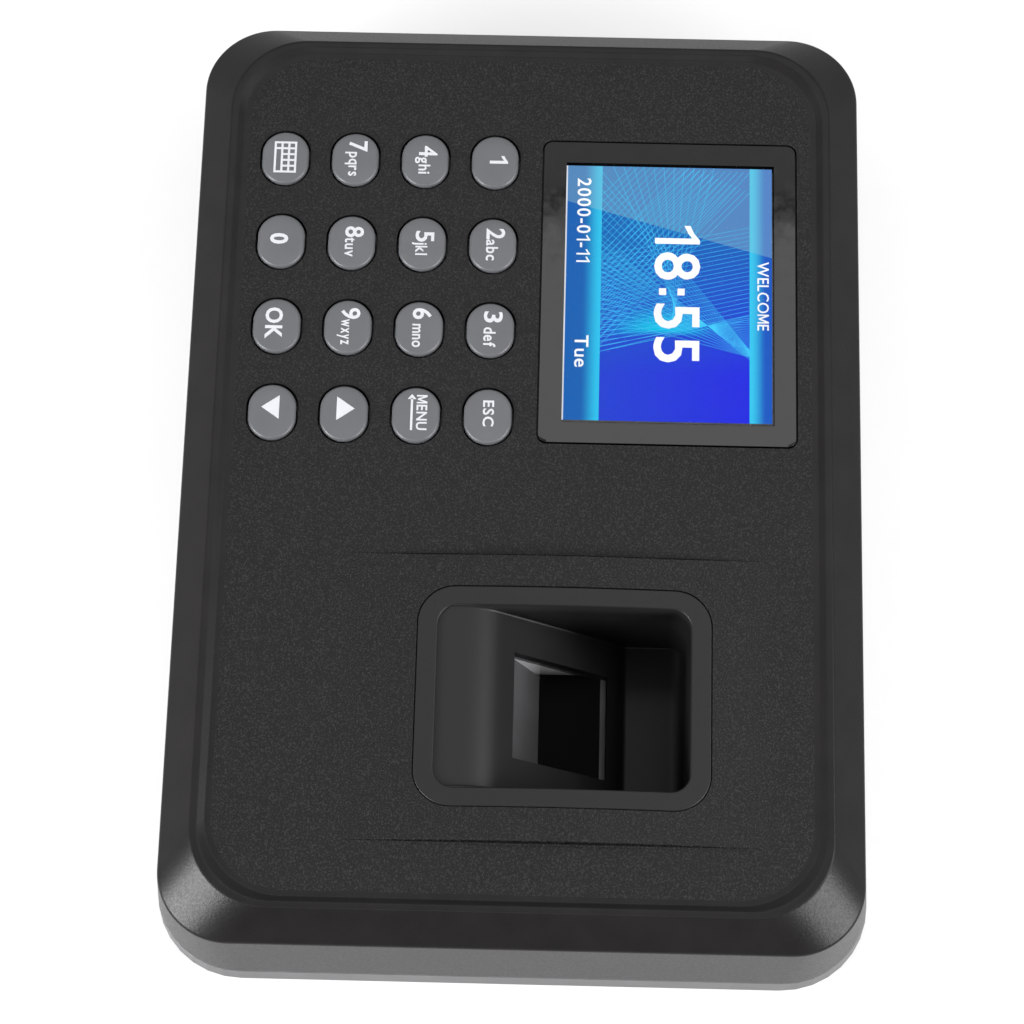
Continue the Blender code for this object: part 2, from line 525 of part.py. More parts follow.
def make_back_cover():
    top = PARTING_Z - GAP / 2
    back = loft("back_cover", (0, 0), (
        outline(0.0, BACK_CHAMFER),
        outline(BACK_CHAMFER),
        outline(top - SEAM_CHAMFER),
        outline(top, SEAM_CHAMFER),
    ), 8, BACK_BLACK)
    lip_x, lip_y, lip_radius, _ = outline(LIP_TOP_Z, WALL + GAP)
    tongue = loft("back_tongue", (0, 0), (
        (lip_x, lip_y, lip_radius, BACK_FLOOR_Z - OVERRUN),
        (lip_x, lip_y, lip_radius, LIP_TOP_Z),
    ), 8)
    tray_x, tray_y, tray_radius, _ = outline(LIP_TOP_Z, WALL + GAP + LIP_THICK)
    tray = loft("back_tray", (0, 0), (
        (tray_x, tray_y, tray_radius, BACK_FLOOR_Z),
        (tray_x, tray_y, tray_radius, LIP_TOP_Z + OVERRUN),
    ), 8)
    join(back, tongue)
    cut(back, tray)
    # the lip gives way to the two sockets
    for name, x, half in (("usb_gap", USB_X, USB_HALF_X), ("jack_gap", JACK_X, JACK_HALF_X)):
        side = half + 2 * SOCKET_GAP
        cut(back, box(name, (x - side, -BODY_HALF_Y, top + 2 * SOCKET_GAP),
                      (x + side, -BODY_HALF_Y + 3 * WALL, LIP_TOP_Z + OVERRUN)))
    plate_seat = plate("plate_seat", (0, 0), PLATE_HALF_X + GAP, PLATE_HALF_Y + GAP, PLATE_RADIUS + GAP,
                       -OVERRUN, PLATE_THICK + GAP, 3)
    cut(back, plate_seat)
    slot_x = HOOK_HALF_X + HOOK_GAP
    for side in (-1, 1):
        slot = box("hook_slot", (side * HOOK_X - slot_x, HOOK_Y - HOOK_GAP, 0.0),
                   (side * HOOK_X + slot_x, HOOK_Y + HOOK_LONG + HOOK_GAP, BACK_FLOOR_Z + OVERRUN))
        cut(back, slot)
    for index, (x, y) in enumerate(corners(BOSS_X, BOSS_Y)):
        well = rod(f"head_well_{index}", (x, y, -OVERRUN), SCREW_HEAD_RADIUS + GAP,
                   HEAD_WELL_DEEP + OVERRUN, 16)
        hole = rod(f"shank_hole_{index}", (x, y, 0.0), SCREW_RADIUS + GAP, BACK_FLOOR_Z + OVERRUN, 12)
        cut(back, well, hole)
    post_foot = BACK_FLOOR_Z - GAP
    for index, (x, y) in enumerate((x, y) for x in BOARD_SCREW_X for y in BOARD_SCREW_Y):
        post = rod(f"board_post_{index}", (x, y, post_foot), BOARD_POST_RADIUS,
                   BOARD_BASE_Z - GAP - post_foot, 14)
        pilot = rod(f"board_pilot_{index}", (x, y, BACK_FLOOR_Z), SMALL_SCREW_RADIUS + GAP,
                    BOARD_BASE_Z, 8)
        join(back, post)
        cut(back, pilot)
    bore = SPEAKER_RADIUS + GAP
    ring = rod("speaker_ring", (SPEAKER_X, SPEAKER_Y, post_foot), bore + RIB_THICK, 2 * RIB_THICK, 28)
    ring_bore = rod("speaker_bore", (SPEAKER_X, SPEAKER_Y, BACK_FLOOR_Z), bore, 3 * RIB_THICK, 28)
    join(back, ring)
    cut(back, ring_bore)
    for index in range(SOUND_SLOTS):
        offset = (index - (SOUND_SLOTS - 1) / 2) * SOUND_PITCH
        reach = math.sqrt((SPEAKER_RADIUS - 2 * RIB_THICK) ** 2 - offset ** 2)
        slot = plate(f"sound_slot_{index}", (SPEAKER_X + offset, SPEAKER_Y), SOUND_HALF, reach,
                     SOUND_HALF - END_ROUND, -OVERRUN, BACK_FLOOR_Z + OVERRUN, 2)
        cut(back, slot)
    return back


def make_wall_plate():
    sheet = plate("wall_plate", (0, 0), PLATE_HALF_X, PLATE_HALF_Y, PLATE_RADIUS, 0.0, PLATE_THICK, 3,
                  PLATE_STEEL)
    for index, (x, y) in enumerate(corners(PLATE_SLOT_X, PLATE_SLOT_Y)):
        slot = plate(f"wall_slot_{index}", (x, y), PLATE_SLOT_HALF_X, PLATE_SLOT_HALF_Y,
                     PLATE_SLOT_HALF_Y - END_ROUND, -OVERRUN, PLATE_THICK + OVERRUN, 4)
        cut(sheet, slot)
    cut(sheet, rod("cable_hole", (0, 0, -OVERRUN), CABLE_HOLE_RADIUS, PLATE_THICK + 2 * OVERRUN, 24))
    stem, tip_low = HOOK_Y + PLATE_THICK, BACK_FLOOR_Z + HOOK_GAP
    tip_y, tip_high = HOOK_Y + HOOK_LONG, tip_low + PLATE_THICK
    outline = (
        (HOOK_Y, PLATE_THICK / 2),
        (stem, PLATE_THICK / 2),
        (stem, tip_low),
        (tip_y, tip_low),
        (tip_y, tip_high),
        (HOOK_Y, tip_high),
    )
    for side in (-1, 1):
        x = side * HOOK_X
        join(sheet, extruded("hook", outline, x - HOOK_HALF_X, x + HOOK_HALF_X, "X"))
    return sheet


def make_display():
    plate("display_lens", (LENS_X, LENS_Y), LENS_HALF_X, LENS_HALF_Y, LENS_RADIUS, LENS_BASE_Z, FACE_Z, 4,
          LENS_BLACK)
    low_x, high_x = SCREEN_X - PANEL_HALF_X, SCREEN_X + PANEL_HALF_X
    low_y, high_y = SCREEN_Y - PANEL_HALF_Y, SCREEN_Y + PANEL_HALF_Y
    box("lcd_panel", (low_x, low_y, PANEL_BASE_Z), (high_x, high_y, PANEL_TOP_Z), SCREEN_BLUE)
    box("lcd_backlight", (low_x, low_y, BACKLIGHT_BASE_Z), (high_x, high_y, PANEL_BASE_Z - GAP),
        LIGHT_PLASTIC)
    frame = box("lcd_frame", (low_x - FRAME_WALL - GAP, low_y - FRAME_WALL - GAP, FRAME_BASE_Z),
                (high_x + FRAME_WALL + GAP, high_y + FRAME_WALL + GAP, FACE_INNER_Z - GAP), STEEL)
    cut(frame, box("frame_hollow", (low_x - GAP, low_y - GAP, BACKLIGHT_BASE_Z - GAP),
                   (high_x + GAP, high_y + GAP, FACE_Z)))


def obround(half_x, half_y, z):
    """Section of a key at height z, measured from the key's top."""
    return half_x, half_y, half_y - END_ROUND, z


def make_keys():
    flange_x, flange_y = KEY_HALF_X + KEY_FLANGE, KEY_HALF_Y + KEY_FLANGE
    top = FACE_Z + KEY_RISE
    dished = 4 * KEY_EDGE
    sections = (
        obround(flange_x, flange_y, KEY_BOTTOM_Z - top),
        obround(flange_x, flange_y, KEY_FLANGE_TOP_Z - top),
        obround(KEY_HALF_X, KEY_HALF_Y, KEY_FLANGE_TOP_Z - top),
        obround(KEY_HALF_X, KEY_HALF_Y, -1.5 * KEY_EDGE),
        obround(KEY_HALF_X - KEY_EDGE, KEY_HALF_Y - KEY_EDGE, -0.5 * KEY_EDGE),
        obround(KEY_HALF_X - dished, KEY_HALF_Y - dished, 0.0),
    )
    for row, y in enumerate(KEY_ROWS):
        for column, x in enumerate(KEY_COLUMNS):
            key = loft(KEY_NAMES[row][column], (0, 0), sections, 5, KEY_GREY)
            key.location = (x, y, top)
            key.data.shade_smooth()
            key.data.set_sharp_from_angle(angle=math.radians(50))


def make_keypad():
    low_x, high_x = KEY_COLUMNS[0] - MAT_MARGIN_X, KEY_COLUMNS[-1] + MAT_MARGIN_X
    low_y, high_y = KEY_ROWS[-1] - MAT_MARGIN_Y, KEY_ROWS[0] + MAT_MARGIN_Y
    mat = box("keypad_mat", (low_x, low_y, MAT_TOP_Z - MAT_THICK), (high_x, high_y, MAT_TOP_Z), RUBBER_GREY)
    for row, y in enumerate(KEY_ROWS):
        for column, x in enumerate(KEY_COLUMNS):
            dome = rod(f"dome_{row}_{column}", (x, y, MAT_TOP_Z - MAT_THICK / 2), DOME_RADIUS,
                       DOME_RISE + MAT_THICK / 2, 12)
            join(mat, dome)
    board = box("keypad_board", (*KEY_BOARD_LOW, KEY_BOARD_TOP_Z - KEY_BOARD_THICK),
                (*KEY_BOARD_HIGH, KEY_BOARD_TOP_Z), BOARD_GREEN)
    places = [(x, y) for x in KEY_SCREW_X for y in KEY_SCREW_Y]
    for index, (x, y) in enumerate(places):
        hole = rod(f"keypad_hole_{index}", (x, y, KEY_BOARD_TOP_Z - 2 * KEY_BOARD_THICK),
                   SMALL_SCREW_RADIUS + GAP, 3 * KEY_BOARD_THICK, 12)
        cut(board, hole)
        screw(f"keypad_screw_{index + 1}", x, y, KEY_BOARD_TOP_Z - KEY_BOARD_THICK - GAP, KEY_SCREW_LONG,
              SMALL_SCREW_RADIUS, SMALL_HEAD_RADIUS, SMALL_HEAD_THICK, -1)


def make_finger_well():
    """Flange, walls and floor of the well, in one moulding with a window in its slope."""
    base = plate("finger_well", (WELL_X, WELL_Y), FLANGE_HALF_X, FLANGE_HALF_Y, FLANGE_RADIUS,
                 FLANGE_BASE_Z, FACE_Z + 2 * PAD_RISE, 5, WELL_BLACK)
    reach = FLANGE_HALF_X + OVERRUN
    arch = extruded("well_arch", arch_outline(0.0, 0.0), WELL_X - reach, WELL_X + reach, "X")
    combine(base, arch, "INTERSECT")
    line = floor_line()
    wall_x = MOUTH_HALF_X + WELL_WALL
    low_y, high_y = line[0][0] - WELL_WALL, WELL_Y + MOUTH_HALF_Y + WELL_WALL
    depth = WELL_WALL / math.cos(SLOPE_ANGLE)
    shelf_under = SHELF_Z - SHELF_THICK
    joint_z = SHELF_Z - GAP             # the shell's top, inside the flange's moulding
    shell_outline = (
        (low_y, joint_z),
        (low_y, shelf_under),
        (WINDOW_LOW_Y - (shelf_under + depth - WINDOW_TOP_Z) / SLOPE, shelf_under),
        (UNDER_FOOT_Y, slope_z(UNDER_FOOT_Y) - depth),
        (UNDER_FOOT_Y + OVERRUN, DEEP_Z - WELL_WALL),
        (high_y, DEEP_Z - WELL_WALL),
        (high_y, joint_z),
    )
    shell = extruded("well_shell", shell_outline, WELL_X - wall_x - OVERRUN, WELL_X + wall_x + OVERRUN, "X")
    core = plate("well_core", (WELL_X, WELL_Y), wall_x, MOUTH_HALF_Y + WELL_WALL, MOUTH_RADIUS + WELL_WALL,
                 0.0, ABOVE_Z)
    combine(shell, core, "INTERSECT")
    join(base, shell)
    pocket = extruded("well_pocket", line + [(line[-1][0] + DEEP_SET_IN, ABOVE_Z), (line[0][0], ABOVE_Z)],
                      WELL_X - MOUTH_HALF_X - OVERRUN, WELL_X + MOUTH_HALF_X + OVERRUN, "X")
    mouth = plate("well_mouth", (WELL_X, WELL_Y), MOUTH_HALF_X, MOUTH_HALF_Y, MOUTH_RADIUS, 0.0, ABOVE_Z)
    combine(pocket, mouth, "INTERSECT")
    cut(base, pocket)
    window = box("sensor_window", (WINDOW_X - WINDOW_HALF_X, WINDOW_LOW_Y, HOUSING_BASE_Z),
                 (WINDOW_X + WINDOW_HALF_X, WINDOW_HIGH_Y, FACE_Z))
    cut(base, window)
    snap_top = FACE_INNER_Z - GAP
    for side in (-1, 1):
        for y in (WELL_Y - SNAP_Y, WELL_Y + SNAP_Y):
            x = WELL_X + side * wall_x
            snap = box("snap", (x - SNAP_STAND, y - SNAP_HALF_Y, snap_top - SNAP_HIGH),
                       (x + SNAP_STAND, y + SNAP_HALF_Y, snap_top))
            join(base, snap)
    return base


def make_sensor():
    """Camera housing under the slope, with the prism, its dark base, the camera's lens and its board."""
    rise = (WELL_WALL + GAP) / math.cos(SLOPE_ANGLE)
    high_z = slope_z(HOUSING_SHOULDER_Y) - rise
    end_wall_y = HOUSING_HIGH_Y - HOUSING_WALL
    outline = (
        (HOUSING_LOW_Y, HOUSING_BASE_Z),
        (end_wall_y, HOUSING_BASE_Z),
        (end_wall_y, slope_z(end_wall_y) - rise),
        (HOUSING_SHOULDER_Y, high_z),
        (HOUSING_LOW_Y, high_z),
    )
    low_x, high_x = WINDOW_X - HOUSING_HALF_X, WINDOW_X + HOUSING_HALF_X
    housing = extruded("sensor_housing", outline, low_x, high_x, "X", LIGHT_PLASTIC)
    end_y = WINDOW_HIGH_Y - GAP - PRISM_END_GAP
    low_y = WINDOW_LOW_Y + GAP
    top_low = slope_z(low_y) - PRISM_SINK
    side = WINDOW_HALF_X - GAP
    prism_outline = (
        (PRISM_FOOT_Y, PRISM_BASE_Z),
        (end_y, PRISM_BASE_Z),
        (end_y, slope_z(end_y) - PRISM_SINK),
        (low_y, top_low),
    )
    extruded("sensor_prism", prism_outline, WINDOW_X - side, WINDOW_X + side, "X", PRISM_GLASS)
    base_top = PRISM_BASE_Z - GAP
    base_low = base_top - BASE_PAD_THICK
    box("prism_base", (WINDOW_X - side, PRISM_FOOT_Y + GAP, base_low), (WINDOW_X + side, end_y, base_top),
        PAD_BLACK)
    pocket_outline = (
        (PRISM_FOOT_Y, base_low - GAP),
        (end_y + GAP, base_low - GAP),
        (end_y + GAP, FACE_Z),
        (low_y - 4 * GAP, FACE_Z),
        (low_y - 2 * GAP, top_low),
        (PRISM_FOOT_Y - 1.5 * GAP, PRISM_BASE_Z),
    )
    pocket = extruded("prism_pocket", pocket_outline, WINDOW_X - side - GAP, WINDOW_X + side + GAP, "X")
    lens_tunnel = box("lens_tunnel",
                      (WINDOW_X - TUNNEL_HALF, HOUSING_LOW_Y - OVERRUN, SENSOR_LENS_Z - TUNNEL_HIGH),
                      (WINDOW_X + TUNNEL_HALF, PRISM_FOOT_Y - OVERRUN, SENSOR_LENS_Z + TUNNEL_HIGH))
    cut(housing, pocket, lens_tunnel)
    rod("sensor_lens", (WINDOW_X, HOUSING_LOW_Y, SENSOR_LENS_Z), SENSOR_LENS_RADIUS, SENSOR_LENS_LONG, 20,
        "Y", CONNECTOR_BLACK)
    board_y = HOUSING_LOW_Y - GAP
    box("sensor_board", (low_x, board_y - SENSOR_BOARD_THICK, HOUSING_BASE_Z),
        (high_x, board_y, high_z - SENSOR_BOARD_SET_IN), BOARD_GREEN)


def make_main_board():
    board = box("main_board", (*BOARD_LOW, BOARD_BASE_Z), (*BOARD_HIGH, BOARD_TOP_Z), BOARD_GREEN)
    chips = (
        ("processor", (-18.0 * MM, 12.0 * MM), (7.0 * MM, 7.0 * MM), 1.4 * MM),
        ("memory", (-18.0 * MM, 28.0 * MM), (6.0 * MM, 4.0 * MM), 1.1 * MM),
        ("power_stage", (2.0 * MM, -28.0 * MM), (4.0 * MM, 3.0 * MM), 1.8 * MM),
        ("lead_header", (9.0 * MM, -12.0 * MM), (3.0 * MM, 6.0 * MM), 3.0 * MM),
    )
    for name, (x, y), (half_x, half_y), height in chips:
        join(board, box(name, (x - half_x, y - half_y, BOARD_TOP_Z - CHIP_SINK),
                        (x + half_x, y + half_y, BOARD_TOP_Z + height)))
    places = [(x, y) for x in BOARD_SCREW_X for y in BOARD_SCREW_Y]
    for index, (x, y) in enumerate(places):
        cut(board, rod(f"board_hole_{index}", (x, y, 0.0), SMALL_SCREW_RADIUS + GAP, FACE_Z, 12))
        screw(f"board_screw_{index + 1}", x, y, BOARD_TOP_Z + GAP, BOARD_SCREW_LONG, SMALL_SCREW_RADIUS,
              SMALL_HEAD_RADIUS, SMALL_HEAD_THICK, 1)
    base = BOARD_TOP_Z + GAP
    floor = base + CELL_FLOOR
    holder = rod("cell_holder", (CELL_X, CELL_Y, base), CELL_RADIUS + CELL_WALL, CELL_FLOOR + CELL_SEAT, 28,
                 finish=CONNECTOR_BLACK)
    cut(holder, rod("cell_seat", (CELL_X, CELL_Y, floor), CELL_RADIUS + GAP, CELL_SEAT + OVERRUN, 28))
    rod("coin_cell", (CELL_X, CELL_Y, floor + GAP), CELL_RADIUS, CELL_THICK, 28, finish=STEEL)


def make_sockets():
    base = BOARD_TOP_Z + GAP
    mouth_y = SOCKET_WALL_Y + 2 * SOCKET_GAP
    low_x, high_x = USB_X - USB_HALF_X, USB_X + USB_HALF_X
    shell = box("usb_port", (low_x, mouth_y, base), (high_x, mouth_y + USB_LONG, base + USB_HIGH), STEEL)
    hollow = box("usb_hollow", (low_x + USB_SKIN, mouth_y - OVERRUN, base + USB_SKIN),
                 (high_x - USB_SKIN, mouth_y + USB_LONG - USB_BACK, base + USB_HIGH - USB_SKIN))
    tongue_low = base + USB_TONGUE_LOW
    tongue = box("usb_tongue", (USB_X - USB_TONGUE_HALF_X, mouth_y + 2 * SOCKET_GAP, tongue_low),
                 (USB_X + USB_TONGUE_HALF_X, mouth_y + USB_LONG - USB_BACK + OVERRUN,
                  tongue_low + USB_TONGUE_THICK))
    cut(shell, hollow)
    join(shell, tongue)

    inner_y = -BODY_HALF_Y + WALL + GAP
    nose_y = SOCKET_WALL_Y + 2 * GAP
    middle = base + JACK_HIGH / 2
    jack = box("dc_jack", (JACK_X - JACK_HALF_X, inner_y, base),
               (JACK_X + JACK_HALF_X, inner_y + JACK_LONG, base + JACK_HIGH), CONNECTOR_BLACK)
    nose = rod("jack_nose", (JACK_X, nose_y, middle), JACK_NOSE_RADIUS, inner_y - nose_y + OVERRUN, 20, "Y")
    bore = rod("jack_bore", (JACK_X, nose_y - OVERRUN, middle), JACK_BORE_RADIUS, JACK_BORE_DEEP + OVERRUN,
               20, "Y")
    pin = rod("jack_pin", (JACK_X, nose_y + JACK_BORE_DEEP + OVERRUN - JACK_PIN_LONG, middle),
              JACK_PIN_RADIUS, JACK_PIN_LONG, 12, "Y")
    join(jack, nose)
    cut(jack, bore)
    join(jack, pin)


def make_speaker():
    low = BACK_FLOOR_Z + GAP
    turned("speaker", (SPEAKER_X, SPEAKER_Y), (
        (0.0, low + 6.6 * MM),
        (MAGNET_RADIUS, low + 6.6 * MM),
        (MAGNET_RADIUS, low + 4.4 * MM),
        (0.8 * SPEAKER_RADIUS, low + 4.0 * MM),
        (SPEAKER_RADIUS, low + 2.2 * MM),
        (SPEAKER_RADIUS, low),
        (0.0, low),
    ), 28, CONE_BLACK)


def ribbon(name, x, y, half_width, low_z, high_z, run):
    """Flat lead that leaves one board, turns back through a half circle and reaches the board below it."""
    radius = (high_z - low_z) / 2
    middle = (high_z + low_z) / 2
    line = [(y + run, high_z)]
    turns = 12
    for step in range(turns + 1):
        angle = math.radians(90.0 + 180.0 * step / turns)
        line.append((y + radius * math.cos(angle), middle + radius * math.sin(angle)))
    line.append((y + run, low_z))
    shape = bmesh.new()
    rails = [[shape.verts.new((side, py, pz)) for py, pz in line] for side in (x - half_width, x + half_width)]
    for index in range(len(line) - 1):
        shape.faces.new((rails[0][index], rails[1][index], rails[1][index + 1], rails[0][index + 1]))
    mesh = bpy.data.meshes.new(name)
    shape.to_mesh(mesh)
    shape.free()
    made = place(name, mesh, RIBBON_WHITE)
    skin = made.modifiers.new("skin", "SOLIDIFY")
    skin.thickness = RIBBON_THICK
    skin.offset = 0.0
    return made


def make_leads():
    low_z = BOARD_TOP_Z + RIBBON_OFF_BOARD
    key_board_base = KEY_BOARD_TOP_Z - KEY_BOARD_THICK
    ribbon("display_ribbon", -31.0 * MM, 36.0 * MM, 5.0 * MM, low_z, FRAME_BASE_Z - RIBBON_OFF_BOARD, 3.0 * MM)
    ribbon("keypad_ribbon", -30.0 * MM, -14.0 * MM, 7.0 * MM, low_z, key_board_base - RIBBON_OFF_BOARD,
           6.0 * MM)
    start = Vector((12.8 * MM, -12.0 * MM, BOARD_TOP_Z + 1.6 * MM))
    end = Vector((WINDOW_X - 8.0 * MM, HOUSING_LOW_Y - 3.6 * MM, 14.0 * MM))
    drawing = bpy.data.curves.new("sensor_lead", "CURVE")
    drawing.dimensions = "3D"
    drawing.bevel_depth = LEAD_RADIUS
    drawing.bevel_resolution = 2
    drawing.use_fill_caps = True
    spline = drawing.splines.new("POLY")
    turns = 14
    hump = 1.5 * MM
    spline.points.add(turns)
    for index, point in enumerate(spline.points):
        share = index / turns
        ease = share * share * (3 - 2 * share)
        x = start.x + (end.x - start.x) * share
        y = start.y + (end.y - start.y) * ease
        z = start.z + (end.z - start.z) * ease + hump * math.sin(math.pi * share)
        point.co = (x, y, z, 1.0)
    made = bpy.data.objects.new("sensor_lead", drawing)
    drawing.materials.append(CONNECTOR_BLACK)
    PARTS.objects.link(made)


def make_cover_screws():
    for index, (x, y) in enumerate(corners(BOSS_X, BOSS_Y)):
        screw(f"cover_screw_{index + 1}", x, y, HEAD_SEAT_Z, SCREW_LONG, SCREW_RADIUS, SCREW_HEAD_RADIUS,
              SCREW_HEAD_THICK, -1)


make_front_cover()
make_back_cover()
make_wall_plate()
make_display()
make_keys()
make_keypad()
make_finger_well()
make_sensor()
make_main_board()
make_sockets()
make_speaker()
make_leads()
make_cover_screws()
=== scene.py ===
"""Looks of the fingerprint scanner terminal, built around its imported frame.

+Z comes out of the face, +X is the terminal's right-hand side as its user reads it, and +Y is its top.
Lengths are in metres. Places come from the frame's boxes; the sizes below are those of edges and fillets.
"""
import json
import math

import bmesh
import bpy
from mathutils import Matrix, Vector


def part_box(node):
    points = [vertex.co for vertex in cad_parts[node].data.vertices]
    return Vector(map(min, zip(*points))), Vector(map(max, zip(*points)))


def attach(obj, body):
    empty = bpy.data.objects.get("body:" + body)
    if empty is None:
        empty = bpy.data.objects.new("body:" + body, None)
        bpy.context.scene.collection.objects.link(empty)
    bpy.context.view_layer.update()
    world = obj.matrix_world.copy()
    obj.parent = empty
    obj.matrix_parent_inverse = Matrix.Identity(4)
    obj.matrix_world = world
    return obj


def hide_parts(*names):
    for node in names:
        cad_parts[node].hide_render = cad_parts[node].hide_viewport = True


MM = 0.001

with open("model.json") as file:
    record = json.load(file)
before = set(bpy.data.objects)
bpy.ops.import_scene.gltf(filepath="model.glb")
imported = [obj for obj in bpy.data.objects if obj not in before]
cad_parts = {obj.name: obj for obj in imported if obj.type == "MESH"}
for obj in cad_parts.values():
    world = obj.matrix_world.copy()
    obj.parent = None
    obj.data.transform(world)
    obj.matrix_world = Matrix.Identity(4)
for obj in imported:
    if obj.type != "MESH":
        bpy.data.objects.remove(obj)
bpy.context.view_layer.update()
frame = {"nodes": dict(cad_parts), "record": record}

# Heights and half sizes of the covers, from the frame
COVER_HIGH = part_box("front_cover")[1]
LENS_LOW, LENS_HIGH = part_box("display_lens")
WELL_LOW, WELL_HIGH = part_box("finger_well")
BODY_X, BODY_Y = COVER_HIGH.x, 58.6 * MM
FACE_Z = LENS_HIGH.z
PAD_RISE = COVER_HIGH.z - FACE_Z
RIM_Z = FACE_Z + 0.7 * MM
PARTING_Z = 6.2 * MM
GAP = 0.3 * MM

BODY_RADIUS, BASE_RADIUS = 12.3 * MM, 15.2 * MM     # at the bevel's foot and at the back
SIDE_FLARE = 2.6 * MM           # how far each long side leans out from the bevel's foot to the back
BEVEL_FOOT_Z = 26.5 * MM
WALL = 2.2 * MM
FACE_THICK = 2.5 * MM
# half sizes and corner radii round the raised rim, from the bevel's top inwards
RIM_OUTSIDE = (79.56 * MM, 53.1 * MM, 13.5 * MM)
RIM_INSIDE = (78.5 * MM, 52.0 * MM, 12.8 * MM)
RIM_FOOT = (77.5 * MM, 50.8 * MM, 13.3 * MM)
FACE_EDGE = (76.5 * MM, 49.8 * MM, 12.3 * MM)
ABOVE_Z = FACE_Z + 9.0 * MM     # clear of the whole face, for cutters
CORNER_STEPS = 16

# Arched pad round the finger well
PAD_HALF_X = 25.05 * MM
PAD_Y, PAD_HALF_Y = 6.4 * MM, 37.0 * MM
PAD_FILLET = 0.4 * MM

# Finger well
WELL_X, WELL_Y = (WELL_LOW.x + WELL_HIGH.x) / 2, 8.0 * MM
FLANGE_X, FLANGE_Y = 19.2 * MM, 24.75 * MM
FLANGE_RADIUS, FLANGE_GAP = 6.3 * MM, 0.1 * MM
FLANGE_BASE_Z = 30.6 * MM
MOUTH_X, MOUTH_Y, MOUTH_RADIUS = 15.9 * MM, 21.3 * MM, 3.4 * MM
DRAFT = 0.4 * MM                # the well's walls close in by this much towards its floor
WELL_WALL = 1.8 * MM
SHELF_Z = 31.5 * MM
DEEP_Z = WELL_LOW.z + WELL_WALL
SLOPE = 0.79                    # fall of the finger slope for each unit along +Y
SLOPE_ANGLE = math.atan(SLOPE)
WINDOW_X, WINDOW_HALF_X = 42.75 * MM, 9.25 * MM
WINDOW_LOW_Y, WINDOW_HIGH_Y = -0.35 * MM, 15.6 * MM
WINDOW_TOP_Z = 27.35 * MM
ROLL_RADIUS = 9.0 * MM
DEEP_RADIUS = 2.5 * MM

# Sensor cell under the window
CELL_BASE_Z = 15.0 * MM
CELL_FOOT_Y, CELL_END_Y = 3.9 * MM, 14.4 * MM
HOUSING_LOW, HOUSING_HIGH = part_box("sensor_housing")

# Display
SCREEN_X, SCREEN_Y = -32.6 * MM, 25.01 * MM
SCREEN_HALF_X, SCREEN_HALF_Y = 24.48 * MM, 18.06 * MM
SCREEN_STRIP = 0.25 * MM        # light that leaks along the panel's lower edge
SCREEN_Z = LENS_LOW.z - 0.1 * MM
LENS_RADIUS = 1.5 * MM
APERTURE = (25.4 * MM, 19.3 * MM, 0.6 * MM)     # half sizes and corner radius of the opening under the lens
# places on the screen, as shares of its length (along +X) and of its height (along +Y)
KNOT = (0.655, 0.466)           # where the rays meet
BAND_LOW, BAND_HIGH = 0.170, 0.8915
VEIL_START, VEIL_SLOPE = 0.147, 0.211

# Keys
KEYS = ("key_1", "key_2", "key_3", "key_esc", "key_4", "key_5", "key_6", "key_menu",
        "key_7", "key_8", "key_9", "key_up", "key_input", "key_0", "key_ok", "key_down")
KEY_FLANGE, KEY_FLANGE_THICK = 0.8 * MM, 1.4 * MM
ROUND_END = 0.01 * MM           # flat left at the middle of a key's round ends
KEY_ROUND = 0.85 * MM
KEY_DISH = 0.12 * MM
KEY_HOLE_GAP = 0.33 * MM


# ------------ mesh helpers

def link(name, mesh):
    made = bpy.data.objects.new(name, mesh)
    bpy.context.scene.collection.objects.link(made)
    return made


def baked(name, shape):
    """Mesh of a finished bmesh, which is freed."""
    mesh = bpy.data.meshes.new(name)
    shape.to_mesh(mesh)
    shape.free()
    return mesh


def opened(mesh):
    shape = bmesh.new()
    shape.from_mesh(mesh)
    return shape


def skin(name, loops, closed=False, face_index=0, cap_index=0):
    """Body through closed loops of points, each with as many points. Ends are capped unless closed."""
    shape = bmesh.new()
    rings = [[shape.verts.new(point) for point in loop] for loop in loops]
    pairs = list(zip(rings, rings[1:]))
    if closed:
        pairs.append((rings[-1], rings[0]))
    count = len(rings[0])
    for lower, upper in pairs:
        for side in range(count):
            after = (side + 1) % count
            face = shape.faces.new((lower[side], lower[after], upper[after], upper[side]))
            face.material_index = face_index
    if not closed:
        shape.faces.new(rings[-1]).material_index = cap_index
        shape.faces.new(list(reversed(rings[0]))).material_index = face_index
    bmesh.ops.remove_doubles(shape, verts=shape.verts, dist=0.0005 * MM)
    bmesh.ops.recalc_face_normals(shape, faces=shape.faces)
    return link(name, baked(name, shape))


def soften(points, steps=5):
    """Round the corners of a path: each point is (numbers, reach), and reach is how far its curve starts from it."""
    vectors = [Vector(numbers) for numbers, _ in points]
    made = [vectors[0]]
    for index in range(1, len(points) - 1):
        here, reach = vectors[index], points[index][1]
        if not reach:
            made.append(here)
            continue
        before = here + (vectors[index - 1] - here).normalized() * reach
        after = here + (vectors[index + 1] - here).normalized() * reach
        for step in range(steps + 1):
            share = step / steps
            made.append(before * (1 - share) ** 2 + here * 2 * share * (1 - share) + after * share ** 2)
    made.append(vectors[-1])
    return made


def centre_of(low, high):
    return (low.x + high.x) / 2, (low.y + high.y) / 2


def halves(low, high):
    return (high.x - low.x) / 2, (high.y - low.y) / 2


def quarter_turn(steps):
    """Angles from 0 to 90 degrees."""
    return [math.radians(90.0 * step / steps) for step in range(steps + 1)]


